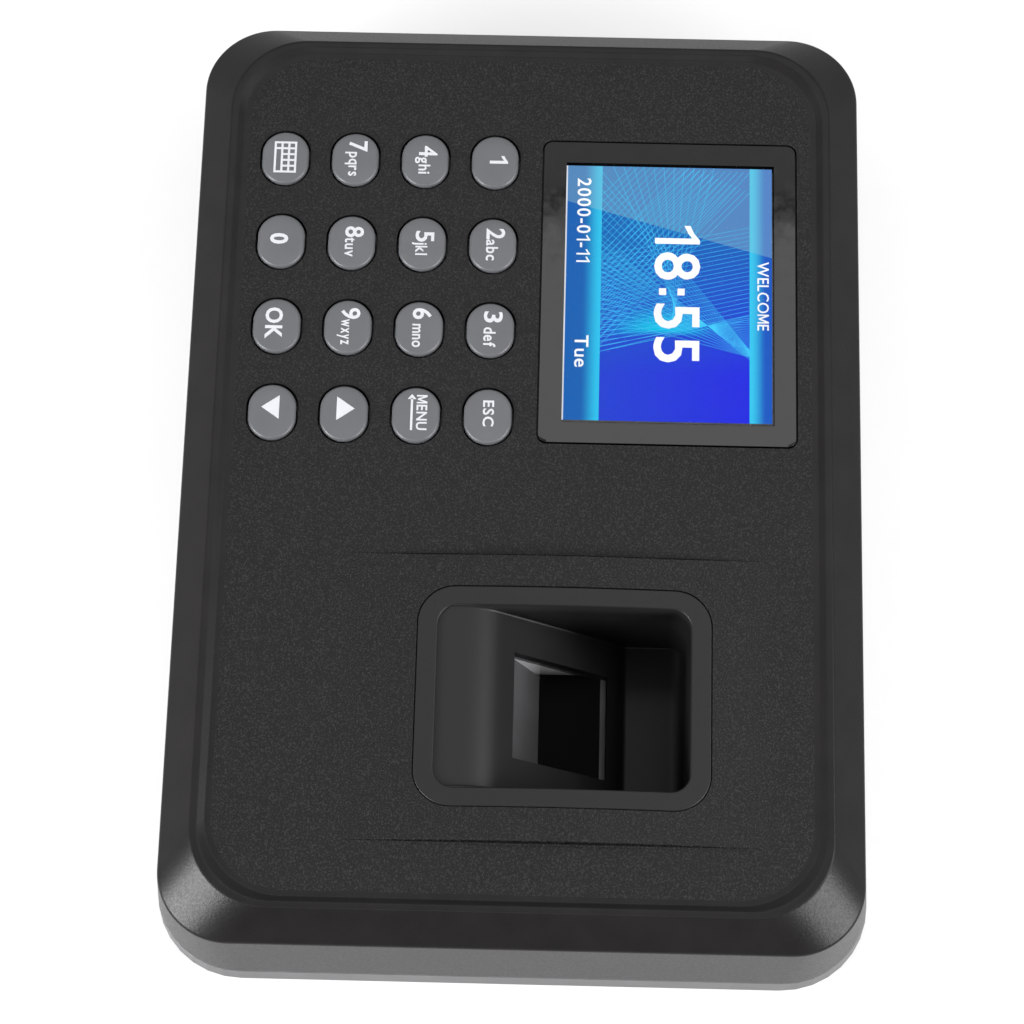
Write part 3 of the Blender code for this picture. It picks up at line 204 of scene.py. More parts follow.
def rounded(half_x, half_y, radius, steps=CORNER_STEPS, splits=1):
    """Outline of a rounded rectangle, counter-clockwise, its straight sides in splits pieces."""
    corners = []
    for quarter in range(4):
        centre = Vector(((half_x - radius) * (1 if quarter in (0, 3) else -1),
                         (half_y - radius) * (1 if quarter in (0, 1) else -1)))
        turns = [math.radians(90.0 * (quarter + step / steps)) for step in range(steps + 1)]
        corners.append([centre + radius * Vector((math.cos(turn), math.sin(turn))) for turn in turns])
    points = []
    for corner, following in zip(corners, corners[1:] + corners[:1]):
        points += corner
        points += [corner[-1].lerp(following[0], split / splits) for split in range(1, splits)]
    return points


def arch(y):
    """Height of the arched pad over the face at y."""
    away = min(abs(y - PAD_Y) / PAD_HALF_Y, 1.0)
    return PAD_RISE * (1 - away ** 2) ** 1.5


def loft(name, centre, sections, steps=CORNER_STEPS, splits=1, closed=False, face_index=0, cap_index=0):
    """Body through rounded rectangles (half_x, half_y, radius, z, share of the arch that is added to z)."""
    loops = []
    for half_x, half_y, radius, z, share in sections:
        loop = []
        for x, y in rounded(half_x, half_y, radius, steps, splits):
            y += centre[1]
            loop.append((centre[0] + x, y, z + (share * arch(y) if share else 0.0)))
        loops.append(loop)
    return skin(name, loops, closed, face_index, cap_index)


def slab(name, outline, low_x, high_x):
    """Outline in (y, z) given a thickness along X."""
    return skin(name, [[(x, y, z) for y, z in outline] for x in (low_x, high_x)])


def block(name, low, high):
    return slab(name, ((low[1], low[2]), (high[1], low[2]), (high[1], high[2]), (low[1], high[2])), low[0], high[0])


def merged(name, objects):
    """One object holding the meshes of several."""
    shape = bmesh.new()
    for each in objects:
        shape.from_mesh(each.data)
        bpy.data.objects.remove(each)
    return link(name, baked(name, shape))


def combine(target, tool, operation, overlapping=False):
    step = target.modifiers.new("step", "BOOLEAN")
    step.operation = operation
    step.solver = "EXACT"
    step.use_self = overlapping
    step.object = tool
    evaluated = target.evaluated_get(bpy.context.evaluated_depsgraph_get())
    mesh = bpy.data.meshes.new_from_object(evaluated)
    mesh.name = target.name
    target.modifiers.clear()
    target.data = mesh
    bpy.data.objects.remove(tool)
    return target


def cut(target, *tools):
    if len(tools) == 1:
        return combine(target, tools[0], "DIFFERENCE")
    return combine(target, merged("cutter", tools), "DIFFERENCE", overlapping=True)


def smooth(piece, angle=40.0):
    """Smooth shading that leaves large flat faces flat."""
    piece.data.shade_smooth()
    piece.data.set_sharp_from_angle(angle=math.radians(angle))
    weigh = piece.modifiers.new("weigh", "WEIGHTED_NORMAL")
    weigh.keep_sharp = True
    weigh.weight = 90
    return piece


def finish_piece(piece, body, slot, materials, *nodes):
    """Materials, the body that the piece rides on, and the nodes that it stands for; the slot is not used."""
    for each in materials:
        piece.data.materials.append(each)
    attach(piece, body)
    if nodes:
        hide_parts(*nodes)
    return piece


# ------------ materials

class Nodes:
    """Short ways to add shader nodes to one material."""

    def __init__(self, name):
        self.material = bpy.data.materials.new(name)
        self.material.use_nodes = True
        self.tree = self.material.node_tree
        self.shader = self.tree.nodes["Principled BSDF"]
        self.place = self.add("ShaderNodeTexCoord").outputs["Object"]

    def add(self, kind, **settings):
        node = self.tree.nodes.new(kind)
        for key, value in settings.items():
            setattr(node, key, value)
        return node

    def feed(self, source, socket):
        self.tree.links.new(source, socket)

    def stretched(self, scale):
        node = self.add("ShaderNodeMapping")
        node.inputs["Scale"].default_value = scale
        self.feed(self.place, node.inputs["Vector"])
        return node.outputs["Vector"]

    def noise(self, size, detail=2.0, vector=None):
        """Noise whose bumps are about size across."""
        node = self.add("ShaderNodeTexNoise")
        node.inputs["Scale"].default_value = 1.0 / size
        node.inputs["Detail"].default_value = detail
        self.feed(vector or self.place, node.inputs["Vector"])
        return node.outputs["Fac"]

    def remap(self, source, low, high, to_low, to_high, smoothly=False):
        node = self.add("ShaderNodeMapRange")
        if smoothly:
            node.interpolation_type = "SMOOTHSTEP"
        for index, value in enumerate((low, high, to_low, to_high), start=1):
            node.inputs[index].default_value = value
        self.feed(source, node.inputs["Value"])
        return node.outputs["Result"]

    def math(self, operation, first, second=None):
        node = self.add("ShaderNodeMath", operation=operation)
        for socket, value in zip(node.inputs, (first, second)):
            if isinstance(value, (int, float)):
                socket.default_value = value
            elif value is not None:
                self.feed(value, socket)
        return node.outputs["Value"]

    def mix(self, share, first, second):
        """Colour between two, each a colour or a socket."""
        node = self.add("ShaderNodeMix", data_type="RGBA")
        self.feed(share, node.inputs["Factor"])
        for key, value in (("A", first), ("B", second)):
            socket = next(each for each in node.inputs if each.name == key and each.type == "RGBA")
            if hasattr(value, "node"):
                self.feed(value, socket)
            else:
                socket.default_value = (*value, 1.0)
        return next(each for each in node.outputs if each.type == "RGBA")

    def bump(self, height, distance, strength=1.0):
        node = self.add("ShaderNodeBump")
        node.inputs["Distance"].default_value = distance
        node.inputs["Strength"].default_value = strength
        self.feed(height, node.inputs["Height"])
        self.feed(node.outputs["Normal"], self.shader.inputs["Normal"])
        return node

    def repaint(self, share, colour):
        """Lay another colour over the base colour."""
        base = self.shader.inputs["Base Color"]
        self.feed(self.mix(share, base.links[0].from_socket, colour), base)

    def axes(self):
        node = self.add("ShaderNodeSeparateXYZ")
        self.feed(self.place, node.inputs["Vector"])
        return node.outputs["X"], node.outputs["Y"], node.outputs["Z"]


def scaled(colour, share):
    return tuple(min(1.0, each * share) for each in colour)


def moulded(name, colour, roughness, grain=0.25 * MM, depth=0.008 * MM, tint=0.12, metallic=0.0, patch=6 * MM,
            stretch=None, gloss=0.5, dull_from=None):
    """Moulded or rolled surface: colour drifts over patches, and a fine grain lies in its roughness and height.

    Its gloss fades at flat angles if dull_from is given, as it does on a rough grain.
    """
    made = Nodes(name)
    vector = made.stretched(stretch) if stretch else None
    drift = made.noise(patch, 3.0, vector)
    fine = made.noise(grain, 2.0, vector)
    tone = made.remap(drift, 0.3, 0.7, 0.0, 1.0)
    made.feed(made.mix(tone, scaled(colour, 1 - tint), scaled(colour, 1 + tint)), made.shader.inputs["Base Color"])
    made.feed(made.remap(fine, 0.25, 0.75, roughness - 0.05, roughness + 0.05), made.shader.inputs["Roughness"])
    made.shader.inputs["Metallic"].default_value = metallic
    made.shader.inputs["Specular IOR Level"].default_value = gloss
    if dull_from:
        facing = made.add("ShaderNodeLayerWeight").outputs["Facing"]
        made.feed(made.remap(facing, dull_from, dull_from + 0.3, gloss, 0.1 * gloss, smoothly=True),
                  made.shader.inputs["Specular IOR Level"])
    made.bump(fine, depth)
    return made


def sparkled(name, colour, roughness):
    """Spark-eroded plastic: a dense fine grain, dark in its pits and light on its peaks."""
    made = moulded(name, colour, roughness, grain=0.26 * MM, depth=0.06 * MM, tint=0.1, gloss=0.15,
                    dull_from=0.15)
    fine = made.noise(0.3 * MM, 1.0)
    made.repaint(made.remap(fine, 0.5, 0.7, 0.0, 1.0), scaled(colour, 4.5))
    return made


def shaded_by_depth(name, colour, roughness):
    """Satin plastic with painted light and shade by height: paler and glossier near its top, darker deeper in the
    well where shade falls.
    """
    plain, top_gloss = 0.115, 0.145
    made = moulded(name, colour, roughness, grain=0.22 * MM, depth=0.016 * MM, gloss=plain)
    height = made.axes()[2]
    low_z, high_z = FACE_Z - 2.2 * MM, FACE_Z - 0.2 * MM
    # painted light: the colour grows paler towards the face, and the darker tone lower down is painted shade
    made.repaint(made.remap(height, low_z, high_z, 0.0, 1.0), scaled(colour, 2.2))
    made.feed(made.remap(height, low_z, high_z, plain, top_gloss), made.shader.inputs["Specular IOR Level"])
    return made


def circuit_board(name):
    """Solder mask over copper tracks."""
    made = moulded(name, (0.015, 0.13, 0.05), 0.35, grain=0.5 * MM, depth=0.004 * MM)
    tracks = made.add("ShaderNodeTexBrick")
    for key, value in (("Scale", 1.0 / (9.0 * MM)), ("Mortar Size", 0.03), ("Color1", (0, 0, 0, 1)),
                       ("Color2", (0, 0, 0, 1)), ("Mortar", (1, 1, 1, 1))):
        tracks.inputs[key].default_value = value
    made.feed(made.place, tracks.inputs["Vector"])
    made.repaint(tracks.outputs["Color"], (0.04, 0.26, 0.09))
    return made


def clear_pane(name, gloss_roughness, index):
    """Clear plastic without bending: what lies behind shows through, under a mirror-like surface."""
    made = Nodes(name)
    clear = made.add("ShaderNodeBsdfTransparent")
    fresnel = made.add("ShaderNodeFresnel")
    fresnel.inputs["IOR"].default_value = index
    shine = made.add("ShaderNodeBsdfGlossy")
    shine.inputs["Roughness"].default_value = gloss_roughness
    mixed = made.add("ShaderNodeMixShader")
    made.feed(fresnel.outputs["Fac"], mixed.inputs["Fac"])
    made.feed(clear.outputs["BSDF"], mixed.inputs[1])
    made.feed(shine.outputs["BSDF"], mixed.inputs[2])
    out = made.tree.nodes["Material Output"]
    made.feed(mixed.outputs["Shader"], out.inputs["Surface"])
    made.tree.nodes.remove(made.shader)
    return made


def srgb(red, green, blue):
    """Linear colour of an 8-bit screen colour."""
    return tuple(((each / 255 + 0.055) / 1.055) ** 2.4 if each > 10 else each / 3294.6 for each in (red, green, blue))


def screen_picture():
    """Lit picture: blue ground, two bands, a glow where the rays meet, and a lighter veil across one corner."""
    made = Nodes("screen_picture")
    x, y, _ = made.axes()
    along = made.remap(x, SCREEN_X - SCREEN_HALF_X, SCREEN_X + SCREEN_HALF_X, 0.0, 1.0)
    up = made.remap(y, SCREEN_Y - SCREEN_HALF_Y, SCREEN_Y + SCREEN_HALF_Y, 0.0, 1.0)
    left_tone = made.mix(up, srgb(32, 110, 185), srgb(38, 96, 190))
    right_tone = made.mix(up, srgb(44, 74, 206), srgb(42, 44, 228))
    ground = made.mix(made.remap(along, 0.3, 0.82, 0.0, 1.0), left_tone, right_tone)

    across = made.math("SUBTRACT", along, KNOT[0])
    height = made.math("MULTIPLY", made.math("SUBTRACT", up, KNOT[1]), SCREEN_HALF_Y / SCREEN_HALF_X)
    spread = made.math("MULTIPLY", height, 0.55)
    reach = made.math("SQRT", made.math("ADD", made.math("POWER", across, 2.0), made.math("POWER", spread, 2.0)))
    glow = made.remap(reach, 0.0, 0.12, 0.9, 0.0, smoothly=True)
    # the glow ends at the curve under which no rays run
    edge = made.math("MULTIPLY", made.math("POWER", height, 2.0), 0.5)
    lit_side = made.remap(made.math("SUBTRACT", across, edge), -0.01, 0.012, 1.0, 0.0)
    glow = made.math("MULTIPLY", glow, lit_side)
    ground = made.mix(glow, ground, srgb(0, 205, 235))

    band_low = made.remap(up, 0.0, BAND_LOW, 0.0, 1.0)
    low_share = made.remap(band_low, 0.45, 1.0, 0.0, 1.0, smoothly=True)
    low_tone = made.mix(low_share, srgb(34, 100, 180), srgb(52, 196, 238))
    in_low = made.math("LESS_THAN", up, BAND_LOW)
    picture = made.mix(in_low, ground, low_tone)
    band_high = made.remap(up, BAND_HIGH, 1.0, 0.0, 1.0)
    high_share = made.remap(band_high, 0.05, 0.75, 0.0, 1.0, smoothly=True)
    high_tone = made.mix(high_share, srgb(60, 200, 240), srgb(36, 92, 196))
    in_high = made.math("GREATER_THAN", up, BAND_HIGH)
    picture = made.mix(in_high, picture, high_tone)

    veil_edge = made.math("ADD", made.math("MULTIPLY", up, VEIL_SLOPE), VEIL_START)
    veil = made.math("MULTIPLY", made.math("LESS_THAN", along, veil_edge), 0.28)
    picture = made.mix(veil, picture, srgb(150, 200, 208))
    made.feed(picture, made.shader.inputs["Emission Color"])
    made.shader.inputs["Emission Strength"].default_value = 1.0
    made.shader.inputs["Base Color"].default_value = (0.001, 0.001, 0.002, 1.0)
    made.shader.inputs["Specular IOR Level"].default_value = 0.0
    return made


def lit(name, colour, strength, fade=None):
    """Even light of one colour, drifting a little at random over patches about fade across if fade is given."""
    made = Nodes(name)
    made.shader.inputs["Base Color"].default_value = (*scaled(colour, 0.05), 1.0)
    made.shader.inputs["Emission Color"].default_value = (*colour, 1.0)
    made.shader.inputs["Emission Strength"].default_value = strength
    made.shader.inputs["Specular IOR Level"].default_value = 0.0
    if fade:
        tone = made.noise(fade, 1.0)
        made.feed(made.mix(made.remap(tone, 0.35, 0.65, 0.0, 1.0), scaled(colour, 0.85), colour),
                  made.shader.inputs["Emission Color"])
    return made


# ------------ covers

def outline(z, set_in=0.0):
    """Section of the covers' outer wall at height z, or of a wall that lies inside it."""
    share = 1 - z / BEVEL_FOOT_Z
    radius = BODY_RADIUS + share * (BASE_RADIUS - BODY_RADIUS)
    return BODY_X - set_in, BODY_Y + share * SIDE_FLARE - set_in, radius - set_in, z, 0


def make_front_cover():
    """Outer cover: bevel, raised rim, sunk face, arched pad and every opening."""
    outer = soften((
        (outline(PARTING_Z + GAP / 2, 0.2 * MM), 0),
        (outline(PARTING_Z + 0.3 * MM), 0.1 * MM),
        (outline(BEVEL_FOOT_Z), 0.5 * MM),
        ((*RIM_OUTSIDE, RIM_Z, 0), 0.4 * MM),
        ((*RIM_INSIDE, RIM_Z, 0), 0.35 * MM),
        ((*RIM_FOOT, FACE_Z, 0), 0.3 * MM),
        ((*FACE_EDGE, FACE_Z, 0), 0),
    ))
    cover = loft("front_shell", (0, 0), outer, 24, cap_index=1)
    hollow = loft("hollow", (0, 0), (
        outline(0.0, WALL),
        outline(BEVEL_FOOT_Z - WALL, WALL),
        (RIM_OUTSIDE[0] - WALL, RIM_OUTSIDE[1] - WALL, BODY_RADIUS - WALL, FACE_Z - FACE_THICK, 0),
    ))
    cut(cover, hollow)
    combine(cover, make_pad(), "UNION")
    cut(cover, *face_cutters())
    usb_low, usb_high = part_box("usb_port")
    clear, jack_radius = 0.4 * MM, 4.4 * MM
    outside_y = -COVER_HIGH.y - WALL
    usb_hole = block("usb_hole", (usb_low.x - clear, outside_y, usb_low.z - clear),
                     (usb_high.x + clear, outside_y + 4 * WALL, usb_high.z + clear))
    jack_low, jack_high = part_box("dc_jack")
    jack_x, jack_z = (jack_low.x + jack_high.x) / 2, (jack_low.z + jack_high.z) / 2
    jack_hole = turned("jack_hole", ((jack_radius, 0.0), (jack_radius, 4 * WALL)), 48)
    jack_hole.data.transform(lying(jack_x, outside_y, jack_z))
    cut(cover, usb_hole, jack_hole)
    return finish_piece(smooth(cover, 35), "housing", "case_black", (SHELL_SMOOTH, SHELL_GRAIN), "front_cover")


def make_pad():
    """Arched pad, with a fillet along its upper edges and another at its foot."""
    loops = []
    steps = 48
    for step in range(steps + 1):
        y = PAD_Y - PAD_HALF_Y * math.cos(math.pi * step / steps)
        rise = max(arch(y), 0.0)
        fillet = min(PAD_FILLET, 0.45 * rise)
        half = [(-PAD_HALF_X - fillet, FACE_Z - 1.0 * MM)]
        for angle in quarter_turn(5):
            half.append((-PAD_HALF_X - fillet * (1 - math.sin(angle)), FACE_Z + fillet * (1 - math.cos(angle))))
        for angle in quarter_turn(5):
            half.append((-PAD_HALF_X + fillet * (1 - math.cos(angle)),
                         FACE_Z + rise - fillet * (1 - math.sin(angle))))
        sunk = 0.01 * MM
        section = [(WELL_X + x, y, z - sunk) for x, z in half]
        section += [(WELL_X - x, y, z - sunk) for x, z in reversed(half)]
        loops.append(section)
    return skin("pad", loops, face_index=1, cap_index=1)


def hole_cutter(name, centre, half_x, half_y, radius, floor_z, lip, share=0.0, splits=1):
    """Cutter for a hole in the face whose upper edge is rounded."""
    spread = 3 * lip
    sections = soften((
        ((half_x, half_y, radius, floor_z, 0), 0),
        ((half_x, half_y, radius, FACE_Z - 2 * lip, share), 0),
        ((half_x, half_y, radius, FACE_Z, share), lip),
        ((half_x + spread, half_y + spread, radius + spread, FACE_Z + 0.1 * spread, share), 0),
        ((half_x + spread, half_y + spread, radius + spread, ABOVE_Z, 0), 0),
    ), 4)
    return loft(name, centre, sections, splits=splits)


def face_cutters():
    inner_z = FACE_Z - FACE_THICK - GAP
    lens_x, lens_y = halves(LENS_LOW, LENS_HIGH)
    tools = [
        hole_cutter("lens_seat", centre_of(LENS_LOW, LENS_HIGH), lens_x + GAP, lens_y + GAP, LENS_RADIUS + GAP,
                    LENS_LOW.z - GAP, 0.06 * MM),
        hole_cutter("flange_seat", (WELL_X, WELL_Y), FLANGE_X + FLANGE_GAP, FLANGE_Y + FLANGE_GAP,
                    FLANGE_RADIUS + FLANGE_GAP, FLANGE_BASE_Z - GAP, 0.14 * MM, 1.0, 16),
    ]
    for name in KEYS:
        low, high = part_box(name)
        half_x, half_y = (half - KEY_FLANGE + KEY_HOLE_GAP for half in halves(low, high))
        tools.append(hole_cutter("key_hole", centre_of(low, high), half_x, half_y, half_y - ROUND_END, inner_z,
                                 0.2 * MM))
    aperture = loft("aperture", (SCREEN_X, SCREEN_Y), [(*APERTURE, z, 0) for z in (inner_z, LENS_LOW.z)])
    seat = WELL_WALL + GAP
    well_hole = loft("well_hole", (WELL_X, WELL_Y), [
        (MOUTH_X + seat, MOUTH_Y + seat, MOUTH_RADIUS + seat, z, 0) for z in (inner_z, FLANGE_BASE_Z)])
    return tools + [aperture, well_hole]


def turned(name, profile, sides):
    """Body of revolution about Z through (radius, z) points."""
    loops = []
    for radius, z in profile:
        turns = [2 * math.pi * side / sides for side in range(sides)]
        loops.append([(radius * math.cos(turn), radius * math.sin(turn), z) for turn in turns])
    return skin(name, loops)


def lying(x, y, z):
    """Matrix that lays a body along +Y, starting at a point."""
    return Matrix.Translation((x, y, z)) @ Matrix.Rotation(-math.pi / 2, 4, "X")


# ------------ keys

def make_key(name):
    """Cap with a rounded edge, on a flange that stays under the face."""
    low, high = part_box(name)
    flange_x, flange_y = halves(low, high)
    flange_z = low.z + KEY_FLANGE_THICK

    def ring(away, z):
        half_x, half_y = flange_x - away, flange_y - away
        return half_x, half_y, half_y - ROUND_END, z, 0

    sections = soften((
        (ring(0.0, low.z), 0),
        (ring(0.0, flange_z), 0.1 * MM),
        (ring(KEY_FLANGE, flange_z), 0),
        (ring(KEY_FLANGE, high.z - KEY_DISH), KEY_ROUND),
        (ring(KEY_FLANGE + 1.9 * MM, high.z), 0.8 * MM),
        (ring(KEY_FLANGE + 3.4 * MM, high.z), 0),
    ), 6)
    key = loft(name + "_cap", centre_of(low, high), sections)
    return finish_piece(smooth(key, 50), name, "key_grey", (KEY_PLASTIC,), name)


# ------------ display

def make_lens():
    """Flat lens with a black printed border round a clear window."""
    half_x, half_y = halves(LENS_LOW, LENS_HIGH)

    def ring(away, z):
        return half_x - away, half_y - away, LENS_RADIUS - away, z, 0

    sections = soften((
        (ring(0.1 * MM, LENS_LOW.z), 0),
        (ring(0.0, LENS_LOW.z + 0.1 * MM), 0),
        (ring(0.0, LENS_HIGH.z), 0.08 * MM),
        (ring(0.6 * MM, LENS_HIGH.z), 0),
    ))
    lens = loft("lens", centre_of(LENS_LOW, LENS_HIGH), sections, 8)
    shape = opened(lens.data)
    window_low = Vector((SCREEN_X - SCREEN_HALF_X + 0.3 * MM, SCREEN_Y - SCREEN_HALF_Y - SCREEN_STRIP))
    window_high = Vector((SCREEN_X + SCREEN_HALF_X + 0.9 * MM, SCREEN_Y + SCREEN_HALF_Y + 0.3 * MM))
    for at, axis in ((window_low.x, 0), (window_high.x, 0), (window_low.y, 1), (window_high.y, 1)):
        split_at(shape, at, axis)
    for face in shape.faces:
        middle = face.calc_center_median()
        inside = window_low.x < middle.x < window_high.x and window_low.y < middle.y < window_high.y
        face.material_index = 1 if inside and abs(face.normal.z) > 0.9 else 0
    shape.to_mesh(lens.data)
    shape.free()
    return finish_piece(smooth(lens), "housing", "lens_black", (LENS_BORDER, LENS_CLEAR), "display_lens")


def on_screen(share_x, share_y):
    return (SCREEN_X + SCREEN_HALF_X * (2 * share_x - 1), SCREEN_Y + SCREEN_HALF_Y * (2 * share_y - 1))


def split_at(shape, at, axis):
    """Cut every face of a shape along a plane across an axis."""
    point, normal = Vector((0, 0, 0)), Vector((0, 0, 0))
    point[axis], normal[axis] = at, 1.0
    bmesh.ops.bisect_plane(shape, geom=[*shape.verts, *shape.edges, *shape.faces], plane_co=point, plane_no=normal)


def make_screen():
    """Display panel with its lit surface just under the lens."""
    low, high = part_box("lcd_panel")
    panel = block("panel_glass", low, high)
    half_x, half_y, base_z = SCREEN_HALF_X + 0.3 * MM, SCREEN_HALF_Y + 0.8 * MM, high.z - 0.5 * MM
    raised = loft("lit_area", (SCREEN_X, SCREEN_Y), (
        (half_x, half_y, 0.3 * MM, base_z, 0),
        (half_x, half_y, 0.3 * MM, SCREEN_Z, 0),
    ), 3)
    combine(panel, raised, "UNION")
    shape = opened(panel.data)
    low_edge = SCREEN_Y - SCREEN_HALF_Y
    for at, axis in ((SCREEN_X - SCREEN_HALF_X, 0), (SCREEN_X + SCREEN_HALF_X, 0), (low_edge, 1),
                     (low_edge - SCREEN_STRIP, 1), (SCREEN_Y + SCREEN_HALF_Y, 1)):
        split_at(shape, at, axis)
    for face in shape.faces:
        middle = face.calc_center_median()
        shown = face.normal.z > 0.9 and middle.z > SCREEN_Z - 0.01 * MM
        across = abs(middle.x - SCREEN_X) < SCREEN_HALF_X
        if shown and across and abs(middle.y - SCREEN_Y) < SCREEN_HALF_Y:
            face.material_index = 1
        elif shown and across and low_edge - SCREEN_STRIP < middle.y < low_edge:
            face.material_index = 2
        else:
            face.material_index = 0
    shape.to_mesh(panel.data)
    shape.free()
    return finish_piece(panel, "housing", "screen", (LENS_BORDER, SCREEN_PICTURE, SCREEN_EDGE), "lcd_panel")


def make_rays():
    """Thin lit rays over the screen's ground: fans that run from one side to another."""
    # each fan: first ray's two ends, last ray's two ends, and how many rays
    fans = (
        ((0.36, BAND_LOW), (0.24, BAND_HIGH), (0.735, BAND_LOW), (0.60, BAND_HIGH), 22),
        ((0.30, BAND_LOW), (0.755, BAND_HIGH), (0.735, BAND_LOW), (0.585, BAND_HIGH), 22),
        ((0.03, BAND_LOW), (0.72, BAND_HIGH), (0.60, BAND_LOW), (0.745, BAND_HIGH), 17),
        ((0.12, BAND_LOW), (0.0, 0.32), (0.68, BAND_LOW), (0.02, BAND_HIGH), 20),
        ((0.35, BAND_LOW), (0.0, 0.60), (0.71, BAND_LOW), (0.10, BAND_HIGH), 14),
        ((0.0, 0.22), (0.60, 0.56), (0.0, 0.72), (0.645, 0.50), 11),
    )
    half = 0.03 * MM
    shape = bmesh.new()
    for first_a, first_b, last_a, last_b, count in fans:
        for index in range(count):
            share = index / (count - 1)
            start = Vector(on_screen(*Vector(first_a).lerp(Vector(last_a), share)))
            end = Vector(on_screen(*Vector(first_b).lerp(Vector(last_b), share)))
            side = (end - start).normalized().orthogonal() * half
            corners = [shape.verts.new((*point, z)) for z in (SCREEN_Z - 0.01 * MM, SCREEN_Z + 0.01 * MM)
                       for point in (start - side, end - side, end + side, start + side)]
            for order in ((3, 2, 1, 0), (4, 5, 6, 7), (0, 1, 5, 4), (1, 2, 6, 5), (2, 3, 7, 6), (3, 0, 4, 7)):
                shape.faces.new([corners[each] for each in order])
    bmesh.ops.recalc_face_normals(shape, faces=shape.faces)
    rays = link("screen_rays", baked("screen_rays", shape))
    return finish_piece(rays, "housing", "screen", (SCREEN_RAYS,))


def drawn(text, bold):
    """Mesh of a text in the built-in font, one unit thick."""
    drawing = bpy.data.curves.new("drawing", "FONT")
    drawing.body = text
    drawing.offset = bold
    drawing.extrude = 0.5
    drawing.resolution_u = 3
    source = link("drawing", drawing)
    bpy.context.view_layer.update()
    mesh = bpy.data.meshes.new_from_object(source.evaluated_get(bpy.context.evaluated_depsgraph_get()))
    bpy.data.objects.remove(source)
    return mesh


def figure_one(tall, bold):
    """Figure 1 with a flag, which the built-in font's has not got."""
    wide, flag = 0.1 * tall + 2 * bold, 0.3 * tall
    outline = ((flag, 0.0), (flag + wide, 0.0), (flag + wide, tall), (flag + 0.3 * wide, tall),
               (0.6 * flag, 0.87 * tall), (0.0, 0.79 * tall), (0.0, 0.79 * tall - wide),
               (0.6 * flag, 0.87 * tall - 0.95 * wide), (flag, 0.97 * tall - wide))
    return flat("figure", [outline], 0.5)


def colon(tall, _):
    """Two square dots."""
    side = 0.16 * tall
    return flat("colon", [oblong(0.0, at * tall, side, at * tall + side) for at in (0.1, 0.51)], 0.5)


def letter_m(tall, bold):
    """Letter M, whose inner corners the built-in font's bold form closes up."""
    wide = 0.9 * tall
    stroke = 0.11 * tall + 2 * bold
    slant, half, crotch = 1.25 * stroke, wide / 2, 0.34 * tall
    low_tip, low_wide = 0.1 * tall, 0.45 * stroke
    outline = ((0.0, 0.0), (stroke, 0.0), (stroke, 0.68 * tall), (half - low_wide, low_tip),
               (half + low_wide, low_tip), (wide - stroke, 0.68 * tall), (wide - stroke, 0.0), (wide, 0.0),
               (wide, tall), (wide - slant, tall), (half, crotch), (slant, tall), (0.0, tall))
    return flat("letter", [outline], 0.5)


OWN_SIGNS = {
    "1": figure_one,
    "M": letter_m,
    ":": colon,
}


def extent(mesh):
    low = Vector(min(vert.co[axis] for vert in mesh.vertices) for axis in range(3))
    high = Vector(max(vert.co[axis] for vert in mesh.vertices) for axis in range(3))
    return low, high


def lettering(name, text, height, width, bold, gap, thick=0.04 * MM):
    """Text set glyph by glyph and centred across; height is that of its capitals, and width that of the whole."""
    capital = extent(drawn("H", bold))
    tall = capital[1].y - capital[0].y
    shape = bmesh.new()
    reached = 0.0
    for sign in text:
        if sign == " ":
            reached += 0.3 * tall
            continue
        own = OWN_SIGNS.get(sign)
        glyph = own(tall, bold) if own else drawn(sign, bold)
        low, high = extent(glyph)
        glyph.transform(Matrix.Translation((reached - low.x, 0.0 if own else -capital[0].y, 0.0)))
        shape.from_mesh(glyph)
        reached += high.x - low.x + gap * tall
    total = reached - gap * tall
    bmesh.ops.remove_doubles(shape, verts=shape.verts, dist=0.0001)
    bmesh.ops.translate(shape, vec=(-total / 2, 0.0, 0.0), verts=shape.verts)
    bmesh.ops.scale(shape, vec=(width / total, height / tall, thick), verts=shape.verts)
    bmesh.ops.recalc_face_normals(shape, faces=shape.faces)
    return baked(name, shape)


def make_screen_texts():
    texts = (
        ("clock_text", "18:55", (0.505, 0.54), 7.9 * MM, 26.2 * MM, 0.012, 0.2),
        ("date_text", "2000-01-11", (0.222, 0.082), 2.4 * MM, 16.3 * MM, 0.011, 0.17),
        ("day_text", "Tue", (0.736, 0.082), 2.4 * MM, 6.0 * MM, 0.011, 0.14),
        ("greeting_text", "WELCOME", (0.508, 0.957), 2.0 * MM, 13.1 * MM, 0.006, 0.14),
    )
    for name, text, (share_x, share_y), height, width, bold, gap in texts:
        piece = link(name, lettering(name, text, height, width, bold, gap))
        x, y = on_screen(share_x, share_y)
        piece.location = (x, y - height / 2, SCREEN_Z + 0.02 * MM)
        finish_piece(piece, "housing", "screen", (SCREEN_WHITE,))


# ------------ finger well

def slope_z(y):
    return WINDOW_TOP_Z - SLOPE * (y - WINDOW_LOW_Y)


